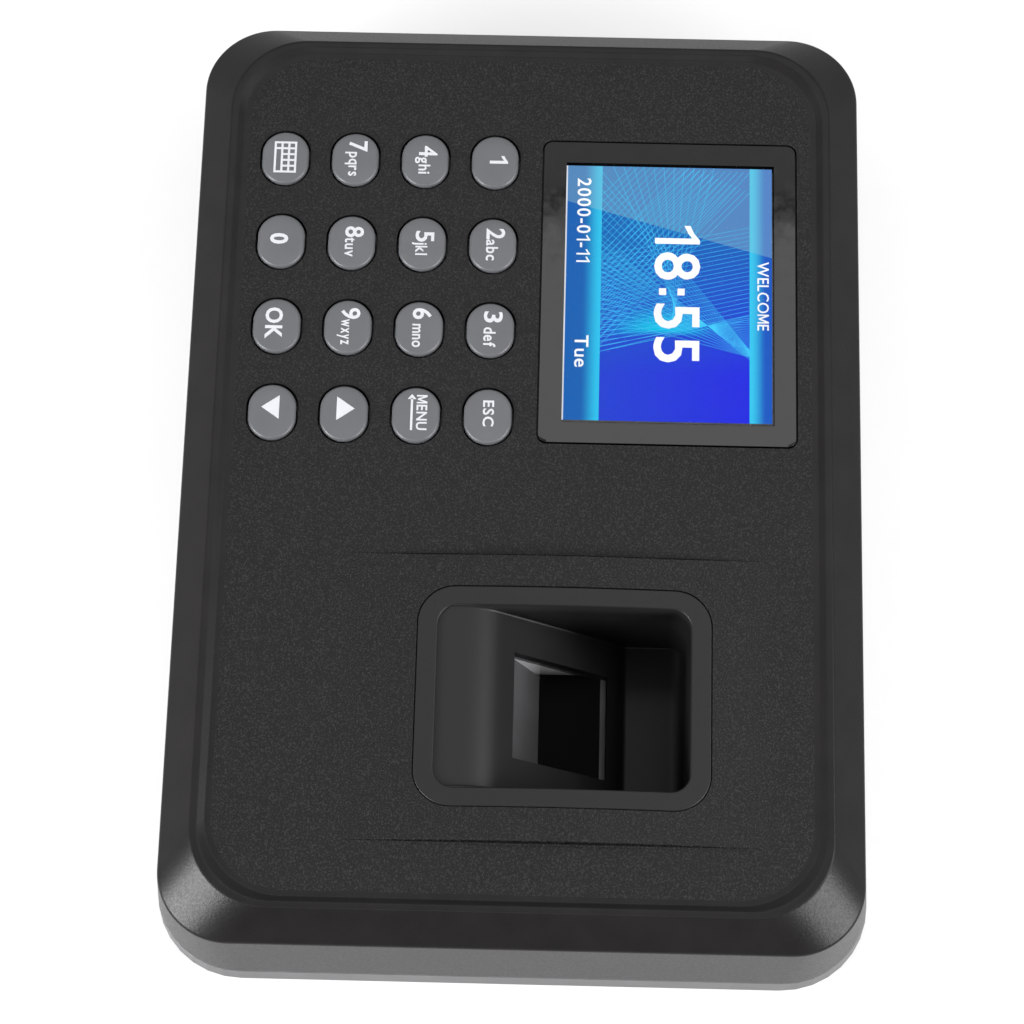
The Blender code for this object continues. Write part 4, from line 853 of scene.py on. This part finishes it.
def floor_line():
    """Floor of the well in (y, z): shelf, roll, finger slope, level deep end, and its rounded corner."""
    low_y, high_y = WELL_Y - MOUTH_Y, WELL_Y + MOUTH_Y - DRAFT
    crest_y = WINDOW_LOW_Y - (SHELF_Z - WINDOW_TOP_Z) / SLOPE
    reach = ROLL_RADIUS * math.tan(SLOPE_ANGLE / 2)
    points = [(low_y - 0.8 * MM, SHELF_Z), (crest_y - reach, SHELF_Z)]
    turns = 18
    for turn in range(1, turns + 1):
        angle = SLOPE_ANGLE * turn / turns
        points.append((crest_y - reach + ROLL_RADIUS * math.sin(angle),
                       SHELF_Z - ROLL_RADIUS * (1 - math.cos(angle))))
    foot_y, floor_y = 17.3 * MM, 18.6 * MM
    bend = soften((
        ((points[-1][0], points[-1][1], 0.0), 0),
        ((foot_y, slope_z(foot_y), 0.0), 0.5 * MM),
        ((floor_y, DEEP_Z, 0.0), 0.6 * MM),
        ((high_y - DEEP_RADIUS, DEEP_Z, 0.0), 0),
    ))
    points += [(point.x, point.y) for point in bend[1:]]
    for angle in quarter_turn(8)[1:]:
        points.append((high_y - DEEP_RADIUS * (1 - math.sin(angle)), DEEP_Z + DEEP_RADIUS * (1 - math.cos(angle))))
    return [Vector(point) for point in points]


def make_floor():
    """Floor of the well as a bent sheet whose long edges curve up into the side walls."""
    line = floor_line()
    half, fillet, into_wall = MOUTH_X - 0.3 * DRAFT, 0.5 * MM, 0.8 * MM
    section = [(-half - into_wall, fillet)]
    section += [(-half + fillet * (1 - math.cos(angle)), fillet * (1 - math.sin(angle))) for angle in quarter_turn(5)]
    section += [(-x, height) for x, height in reversed(section)]
    section += [(half + into_wall, -WELL_WALL), (-half - into_wall, -WELL_WALL)]
    loops = []
    for index, point in enumerate(line):
        before, after = line[max(index - 1, 0)], line[min(index + 1, len(line) - 1)]
        along = (after - before).normalized()
        normal = Vector((-along.y, along.x))
        loops.append([(WELL_X + x, point.x + normal.x * height, point.y + normal.y * height)
                      for x, height in section])
    return skin("floor", loops)


def make_finger_well():
    outer = soften((
        ((FLANGE_X, FLANGE_Y, FLANGE_RADIUS, FLANGE_BASE_Z, 0), 0),
        ((FLANGE_X, FLANGE_Y, FLANGE_RADIUS, FACE_Z - 0.5 * MM, 1), 0),
        ((FLANGE_X, FLANGE_Y, FLANGE_RADIUS, FACE_Z, 1), 0.4 * MM),
        ((MOUTH_X, MOUTH_Y, MOUTH_RADIUS, FACE_Z, 1), 0.6 * MM),
        ((MOUTH_X - 0.02 * MM, MOUTH_Y - 0.02 * MM, MOUTH_RADIUS, FACE_Z - 1.0 * MM, 1), 0),
        ((MOUTH_X - DRAFT, MOUTH_Y - DRAFT, MOUTH_RADIUS - DRAFT, DEEP_Z - 1.0 * MM, 0), 0),
        ((MOUTH_X + WELL_WALL, MOUTH_Y + WELL_WALL, MOUTH_RADIUS + WELL_WALL, DEEP_Z - WELL_WALL, 0), 0),
        ((MOUTH_X + WELL_WALL, MOUTH_Y + WELL_WALL, MOUTH_RADIUS + WELL_WALL, FLANGE_BASE_Z, 0), 0),
    ))
    well = loft("well", (WELL_X, WELL_Y), outer, 12, 14, closed=True)
    combine(well, make_floor(), "UNION")
    under = WELL_WALL / math.cos(SLOPE_ANGLE)
    low_y, foot_y = WELL_LOW.y - 1.0 * MM, 17.0 * MM
    below = SHELF_Z - 2.8 * MM
    cut(well, slab("under", (
        (low_y, 0.0),
        (foot_y + 1.0 * MM, 0.0),
        (foot_y + 1.0 * MM, DEEP_Z - WELL_WALL),
        (foot_y, slope_z(foot_y) - under),
        (WINDOW_LOW_Y - (below + under - WINDOW_TOP_Z) / SLOPE, below),
        (low_y, below),
    ), WELL_LOW.x, WELL_HIGH.x))
    cut(well, block("window", (WINDOW_X - WINDOW_HALF_X, WINDOW_LOW_Y, 0.0),
                    (WINDOW_X + WINDOW_HALF_X, WINDOW_HIGH_Y, FACE_Z)))
    return finish_piece(smooth(well, 35), "housing", "well_black", (WELL_PLASTIC,), "finger_well")


def make_sensor():
    """Sensor cell: pale housing whose slanted end and side walls show round a black base, under a clear prism. Its
    walls carry painted light: a lit copy of its plastic on the side walls, and shaded copies on the slanted wall and
    the far end.
    """
    low, high = HOUSING_LOW, HOUSING_HIGH
    under = (WELL_WALL + GAP) / math.cos(SLOPE_ANGLE)
    shoulder_y = -3.0 * MM
    housing = slab("sensor_block", (
        (low.y, low.z),
        (high.y, low.z),
        (high.y, slope_z(high.y) - under),
        (shoulder_y, slope_z(shoulder_y) - under),
        (low.y, slope_z(shoulder_y) - under),
    ), low.x, high.x)
    side = WINDOW_HALF_X - GAP
    left_y = WINDOW_LOW_Y - 0.2 * MM
    left_z = slope_z(left_y) - under
    fall = (CELL_FOOT_Y - left_y) / (left_z - CELL_BASE_Z)
    seat_z = CELL_BASE_Z - 1.2 * MM
    cut(housing, slab("cell", (
        (CELL_FOOT_Y, seat_z),
        (CELL_END_Y + 0.2 * MM, seat_z),
        (CELL_END_Y + 0.2 * MM, FACE_Z),
        (left_y - fall * (FACE_Z - left_z), FACE_Z),
        (CELL_FOOT_Y, CELL_BASE_Z),
    ), WINDOW_X - side, WINDOW_X + side))
    # painted light: walls facing along X get a lit copy of the plastic, the far end a half-shaded copy, and the rest
    # a shaded copy
    for face in housing.data.polygons:
        end = 2 if face.center.y > CELL_END_Y - 0.5 * MM else 0
        face.material_index = 1 if abs(face.normal.x) > 0.9 else end
    finish_piece(smooth(housing), "housing", "light_plastic", (SHADED_HOUSING, LIT_WALLS_AND_PALE_PARTS, SHADED_END_WALL),
                 "sensor_housing")
    loose = 0.05 * MM
    base = block("sensor_base", (WINDOW_X - side + loose, CELL_FOOT_Y + loose, CELL_BASE_Z - 1.0 * MM),
                 (WINDOW_X + side - loose, CELL_END_Y, CELL_BASE_Z))
    finish_piece(base, "housing", "pad_black", (DEEP_BLACK,), "prism_base")
    sink, near_y, far_y = 0.7 * MM, WINDOW_LOW_Y + 0.15 * MM, CELL_END_Y - 0.1 * MM
    prism = slab("clear_prism", (
        (near_y, slope_z(near_y) - sink),
        (near_y, left_z - 1.0 * MM),
        (CELL_FOOT_Y + 4 * loose, CELL_BASE_Z + loose),
        (far_y, CELL_BASE_Z + loose),
        (far_y, slope_z(far_y) - sink),
    ), WINDOW_X - side + 4 * loose, WINDOW_X + side - 4 * loose)
    finish_piece(prism, "housing", "prism_glass", (PRISM_CLEAR,), "sensor_prism")


# ------------ materials of the pieces

SHELL_SMOOTH = moulded("shell_smooth", (0.0058, 0.0054, 0.0057), 0.33, grain=0.45 * MM, depth=0.02 * MM,
                       gloss=0.1).material
SHELL_GRAIN = sparkled("shell_grain", (0.0024, 0.0023, 0.0024), 0.5).material
BACK_PLASTIC = moulded("back_plastic", (0.05, 0.05, 0.052), 0.45).material
# painted shade deeper in the well, painted light near its top
WELL_PLASTIC = shaded_by_depth("well_plastic", (0.003, 0.003, 0.0031), 0.42).material
KEY_PLASTIC = moulded("key_plastic", (0.047, 0.0487, 0.0522), 0.42, grain=0.2 * MM, depth=0.004 * MM, tint=0.05,
                      gloss=0.3, dull_from=0.35).material
# painted shade: darkened copy of the sensor housing's pale plastic
SHADED_HOUSING = moulded("shaded_housing", (0.029, 0.029, 0.03), 0.4, gloss=0.15).material
# painted shade: half-darkened copy of the same plastic, for the housing's far end
SHADED_END_WALL = moulded("shaded_end_wall", (0.11, 0.11, 0.113), 0.4).material
# light plastic of the carried parts, and painted light where it is used on the housing's side walls
LIT_WALLS_AND_PALE_PARTS = moulded("lit_walls_and_pale_parts", (0.55, 0.55, 0.56), 0.4).material
DEEP_BLACK = moulded("deep_black", (0.0006, 0.0006, 0.0006), 0.6, gloss=0.02).material
LENS_BORDER = moulded("lens_border", (0.0018, 0.0018, 0.002), 0.06, grain=2 * MM, depth=0.0003 * MM,
                      gloss=0.23).material
LENS_CLEAR = clear_pane("lens_clear", 0.03, 1.03).material
PRISM_CLEAR = clear_pane("prism_clear", 0.05, 1.05).material
SCREEN_PICTURE = screen_picture().material
SCREEN_RAYS = lit("screen_rays", srgb(70, 200, 245), 1.0, 6 * MM).material
SCREEN_WHITE = lit("screen_white", (0.95, 0.97, 1.0), 1.0, 8 * MM).material
SCREEN_EDGE = lit("screen_edge", (0.8, 0.83, 0.9), 0.9, 8 * MM).material
RUBBER = moulded("rubber", (0.3, 0.3, 0.31), 0.75, depth=0.015 * MM).material
BOARD = circuit_board("board").material
CONNECTOR = moulded("connector", (0.018, 0.018, 0.018), 0.4).material
STEEL = moulded("steel", (0.62, 0.62, 0.64), 0.28, grain=0.15 * MM, depth=0.002 * MM, metallic=1.0,
                stretch=(1, 12, 1)).material
PLATE = moulded("plate", (0.5, 0.51, 0.52), 0.36, grain=0.2 * MM, depth=0.004 * MM, metallic=1.0,
                stretch=(8, 1, 1)).material
RIBBON = moulded("ribbon", (0.72, 0.72, 0.69), 0.5, stretch=(10, 1, 1)).material
SPEAKER = moulded("speaker_paper", (0.03, 0.03, 0.03), 0.7, depth=0.03 * MM).material
SIGN_WHITE = moulded("sign_white", (0.28, 0.285, 0.3), 0.5, tint=0.03, gloss=0.3, dull_from=0.35).material

# materials of the CAD nodes that stay, by slot
CARRIED = {
    "back_black": BACK_PLASTIC, "light_plastic": LIT_WALLS_AND_PALE_PARTS, "rubber_grey": RUBBER, "circuit_board": BOARD,
    "connector_black": CONNECTOR, "steel": STEEL, "plate_steel": PLATE, "ribbon_white": RIBBON,
    "speaker_black": SPEAKER,
}


def dress_nodes():
    """Materials and fine bevels for the CAD nodes that stay."""
    slots = {row["node"]: row["material_slot"] for row in frame["record"]["subparts"]}
    for name, node in frame["nodes"].items():
        if node.hide_render:
            continue
        node.data.materials[0] = CARRIED[slots[name]]
        bevel = node.modifiers.new("edges", "BEVEL")
        bevel.width = 0.12 * MM
        bevel.segments = 2
        bevel.limit_method = "ANGLE"
        bevel.angle_limit = math.radians(40)


# ------------ key signs

# letters printed beside each figure, and the width of that group
GROUPS = {"key_2": ("abc", 4.0), "key_3": ("def", 3.7), "key_4": ("ghi", 3.3), "key_5": ("jkl", 2.5),
          "key_6": ("mno", 4.4), "key_7": ("pqrs", 4.7), "key_8": ("tuv", 3.7), "key_9": ("wxyz", 4.8)}
FIGURE_HIGH, FIGURE_WIDE = 3.25 * MM, 2.1 * MM
GROUP_HIGH = 2.1 * MM
SIGN_FOOT = -1.15 * MM          # foot of the figures, from the middle of their key
SIGN_BOLD = 0.017
SIGN_GAP = 0.005 * MM


def make_signs():
    for name in KEYS:
        low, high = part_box(name)
        meshes = figure_and_group(name) if name in GROUPS else OTHER_SIGNS[name]()
        shape = bmesh.new()
        for mesh, across, up in meshes:
            mesh.transform(Matrix.Translation((across, up, 0.0)))
            shape.from_mesh(mesh)
        sign_name = name + "_sign"
        piece = link(sign_name, baked(sign_name, shape))
        piece.location = (*centre_of(low, high), high.z + SIGN_GAP)
        finish_piece(piece, name, None, (SIGN_WHITE,))


def figure_and_group(name):
    letters, wide = GROUPS[name]
    wide *= MM
    gap = (0.9 if letters in ("def", "mno") else 0.05) * MM
    total = FIGURE_WIDE + gap + wide
    tall = lettering("figure", name[-1], FIGURE_HIGH, FIGURE_WIDE, SIGN_BOLD, 0.0)
    small = lettering("group", letters, GROUP_HIGH, wide, SIGN_BOLD, 0.12)
    return [(tall, (FIGURE_WIDE - total) / 2, SIGN_FOOT), (small, (total - wide) / 2, SIGN_FOOT)]


def flat(name, outlines, thick=0.02 * MM):
    """Thin bodies with the given outlines, each a convex list of points."""
    shape = bmesh.new()
    for outline in outlines:
        low = [shape.verts.new((x, y, -thick)) for x, y in outline]
        high = [shape.verts.new((x, y, thick)) for x, y in outline]
        shape.faces.new(list(reversed(low)))
        shape.faces.new(high)
        for side in range(len(outline)):
            after = (side + 1) % len(outline)
            shape.faces.new((low[side], low[after], high[after], high[side]))
    bmesh.ops.recalc_face_normals(shape, faces=shape.faces)
    return baked(name, shape)


def oblong(low_x, low_y, high_x, high_y):
    return ((low_x, low_y), (high_x, low_y), (high_x, high_y), (low_x, high_y))


def triangle_sign(way):
    half, rise = 2.2 * MM, 1.55 * MM
    outline = ((-half, -way * rise), (half, -way * rise), (0.0, way * rise))[::way]
    return [(flat("arrow", [outline]), -0.75 * MM, way * 0.3 * MM)]


def menu_sign():
    stem, head = 0.2 * MM, 0.75 * MM
    left, right, level = -3.7 * MM, 3.0 * MM, -0.72 * MM
    line = oblong(left + head, -stem, right, stem)
    tip = ((left, 0.0), (left + 1.25 * head, -head), (left + 1.25 * head, head))
    return [(lettering("word", "MENU", 1.85 * MM, 6.5 * MM, SIGN_BOLD, 0.15), -0.3 * MM, 0.1 * MM),
            (flat("arrow", [line, tip]), 0.0, level)]


def keyboard_sign():
    """Outline of a keyboard: bars left between three rows of cells."""
    half_x, half_y, bar = 3.05 * MM, 2.0 * MM, 0.38 * MM
    step_x, step_y = (2 * half_x - bar) / 5, (2 * half_y - bar) / 3
    bars = [oblong(-half_x, -half_y + row * step_y, half_x, -half_y + row * step_y + bar) for row in range(4)]
    for column in range(6):
        left = -half_x + column * step_x
        foot = -half_y if column in (0, 1, 5) else -half_y + step_y
        for row in range(3):
            low = -half_y + row * step_y + bar
            if low - bar >= foot - 0.01 * MM:
                bars.append(oblong(left, low, left + bar, low + step_y - bar))
    return [(flat("keyboard", bars), 0.0, 0.0)]


def word_sign(text, height, width, bold, gap, across, up):
    return lambda: [(lettering("word", text, height * MM, width * MM, bold, gap), across * MM, up * MM)]


OTHER_SIGNS = {
    "key_1": word_sign("1", 3.25, 1.5, 0.03, 0.0, -0.3, -0.95),
    "key_0": word_sign("0", 3.15, 2.05, 0.03, 0.0, -0.3, -1.9),
    "key_esc": word_sign("ESC", 1.9, 4.8, 0.02, 0.14, -0.4, -0.85),
    "key_ok": word_sign("OK", 3.0, 5.9, 0.026, 0.16, -0.3, -1.95),
    "key_menu": menu_sign,
    "key_up": lambda: triangle_sign(1),
    "key_down": lambda: triangle_sign(-1),
    "key_input": keyboard_sign,
}


# ------------ stage

def make_camera():
    data = bpy.data.cameras.new("camera")
    data.lens = 118.86
    data.sensor_width = 36.0
    data.clip_start = 0.01
    camera = bpy.data.objects.new("camera", data)
    bpy.context.scene.collection.objects.link(camera)
    camera.location = (211.32 * MM, 5.27 * MM, 570.75 * MM)
    camera.rotation_euler = [math.radians(turn) for turn in (20.506, 0.177, 91.418)]
    bpy.context.scene.camera = camera


def make_ground():
    """Pale table, lit from below round the object and falling off to the grey of the room."""
    half, below = 6.0, -0.05 * MM
    mesh = bpy.data.meshes.new("ground")
    mesh.from_pydata([(-half, -half, below), (half, -half, below), (half, half, below), (-half, half, below)], [],
                     [(0, 1, 2, 3)])
    pale = moulded("ground", (0.2, 0.2, 0.2), 0.8, grain=4 * MM, depth=0.02 * MM, tint=0.01, patch=0.3)
    x, y, _ = pale.axes()
    away = pale.math("SQRT", pale.math("ADD", pale.math("POWER", x, 2.0), pale.math("POWER", y, 2.0)))
    pale.feed(pale.remap(away, 0.25, 0.7, 0.55, 0.1, smoothly=True), pale.shader.inputs["Emission Strength"])
    pale.shader.inputs["Emission Color"].default_value = (1.0, 1.0, 1.0, 1.0)
    mesh.materials.append(pale.material)
    link("ground", mesh)


def card(name, azimuth, elevation, away, wide, high, radiance):
    """Rectangular soft light that faces the origin; wide is its level side, and azimuth 0 is towards +X."""
    turn, tilt = math.radians(azimuth), math.radians(elevation)
    data = bpy.data.lights.new(name, "AREA")
    data.shape = "RECTANGLE"
    data.size, data.size_y = wide, high
    data.energy = 4 * radiance * wide * high
    lamp = bpy.data.objects.new(name, data)
    bpy.context.scene.collection.objects.link(lamp)
    lamp.location = Vector((math.cos(turn) * math.cos(tilt), math.sin(turn) * math.cos(tilt), math.sin(tilt))) * away
    lamp.rotation_euler = (math.pi / 2 - tilt, 0.0, turn + math.pi / 2)
    lamp.visible_camera = False


def make_world():
    """Soft grey surroundings, dark towards +X."""
    world = bpy.data.worlds.new("studio")
    world.use_nodes = True
    tree = world.node_tree
    ground = tree.nodes["Background"]
    ground.inputs["Color"].default_value = (1.0, 1.0, 1.0, 1.0)
    place = tree.nodes.new("ShaderNodeTexCoord")
    parts = tree.nodes.new("ShaderNodeSeparateXYZ")
    tree.links.new(place.outputs["Generated"], parts.inputs["Vector"])
    fall = tree.nodes.new("ShaderNodeMapRange")
    fall.interpolation_type = "SMOOTHSTEP"
    for index, value in enumerate((0.1, 0.9, 0.75, 0.1), start=1):
        fall.inputs[index].default_value = value
    tree.links.new(parts.outputs["X"], fall.inputs["Value"])
    tree.links.new(fall.outputs["Result"], ground.inputs["Strength"])
    bpy.context.scene.world = world


def make_lights():
    card("left_card", -61, 22, 1.0, 0.55, 0.34, 42.0)
    card("right_card", 61, 22, 1.0, 0.55, 0.34, 25.0)
    card("side_card", 90, 45, 1.1, 0.5, 0.5, 8.0)
    card("overhead", 180, 67.5, 1.08, 1.4, 0.17, 3.0)
    card("low_overhead", 180, 57, 1.08, 1.4, 0.2, 0.75)
    card("top_card", 90, 72, 1.2, 0.7, 0.7, 0.4)
    card("near_card", 0, 52, 1.1, 0.6, 0.3, 2.2)
    bpy.context.scene.view_settings.view_transform = "Standard"


make_camera()
make_front_cover()
for key_name in KEYS:
    make_key(key_name)
make_signs()
make_lens()
make_screen()
make_rays()
make_screen_texts()
make_finger_well()
make_sensor()
dress_nodes()
make_world()
make_lights()
make_ground()

bpy.context.view_layer.update()
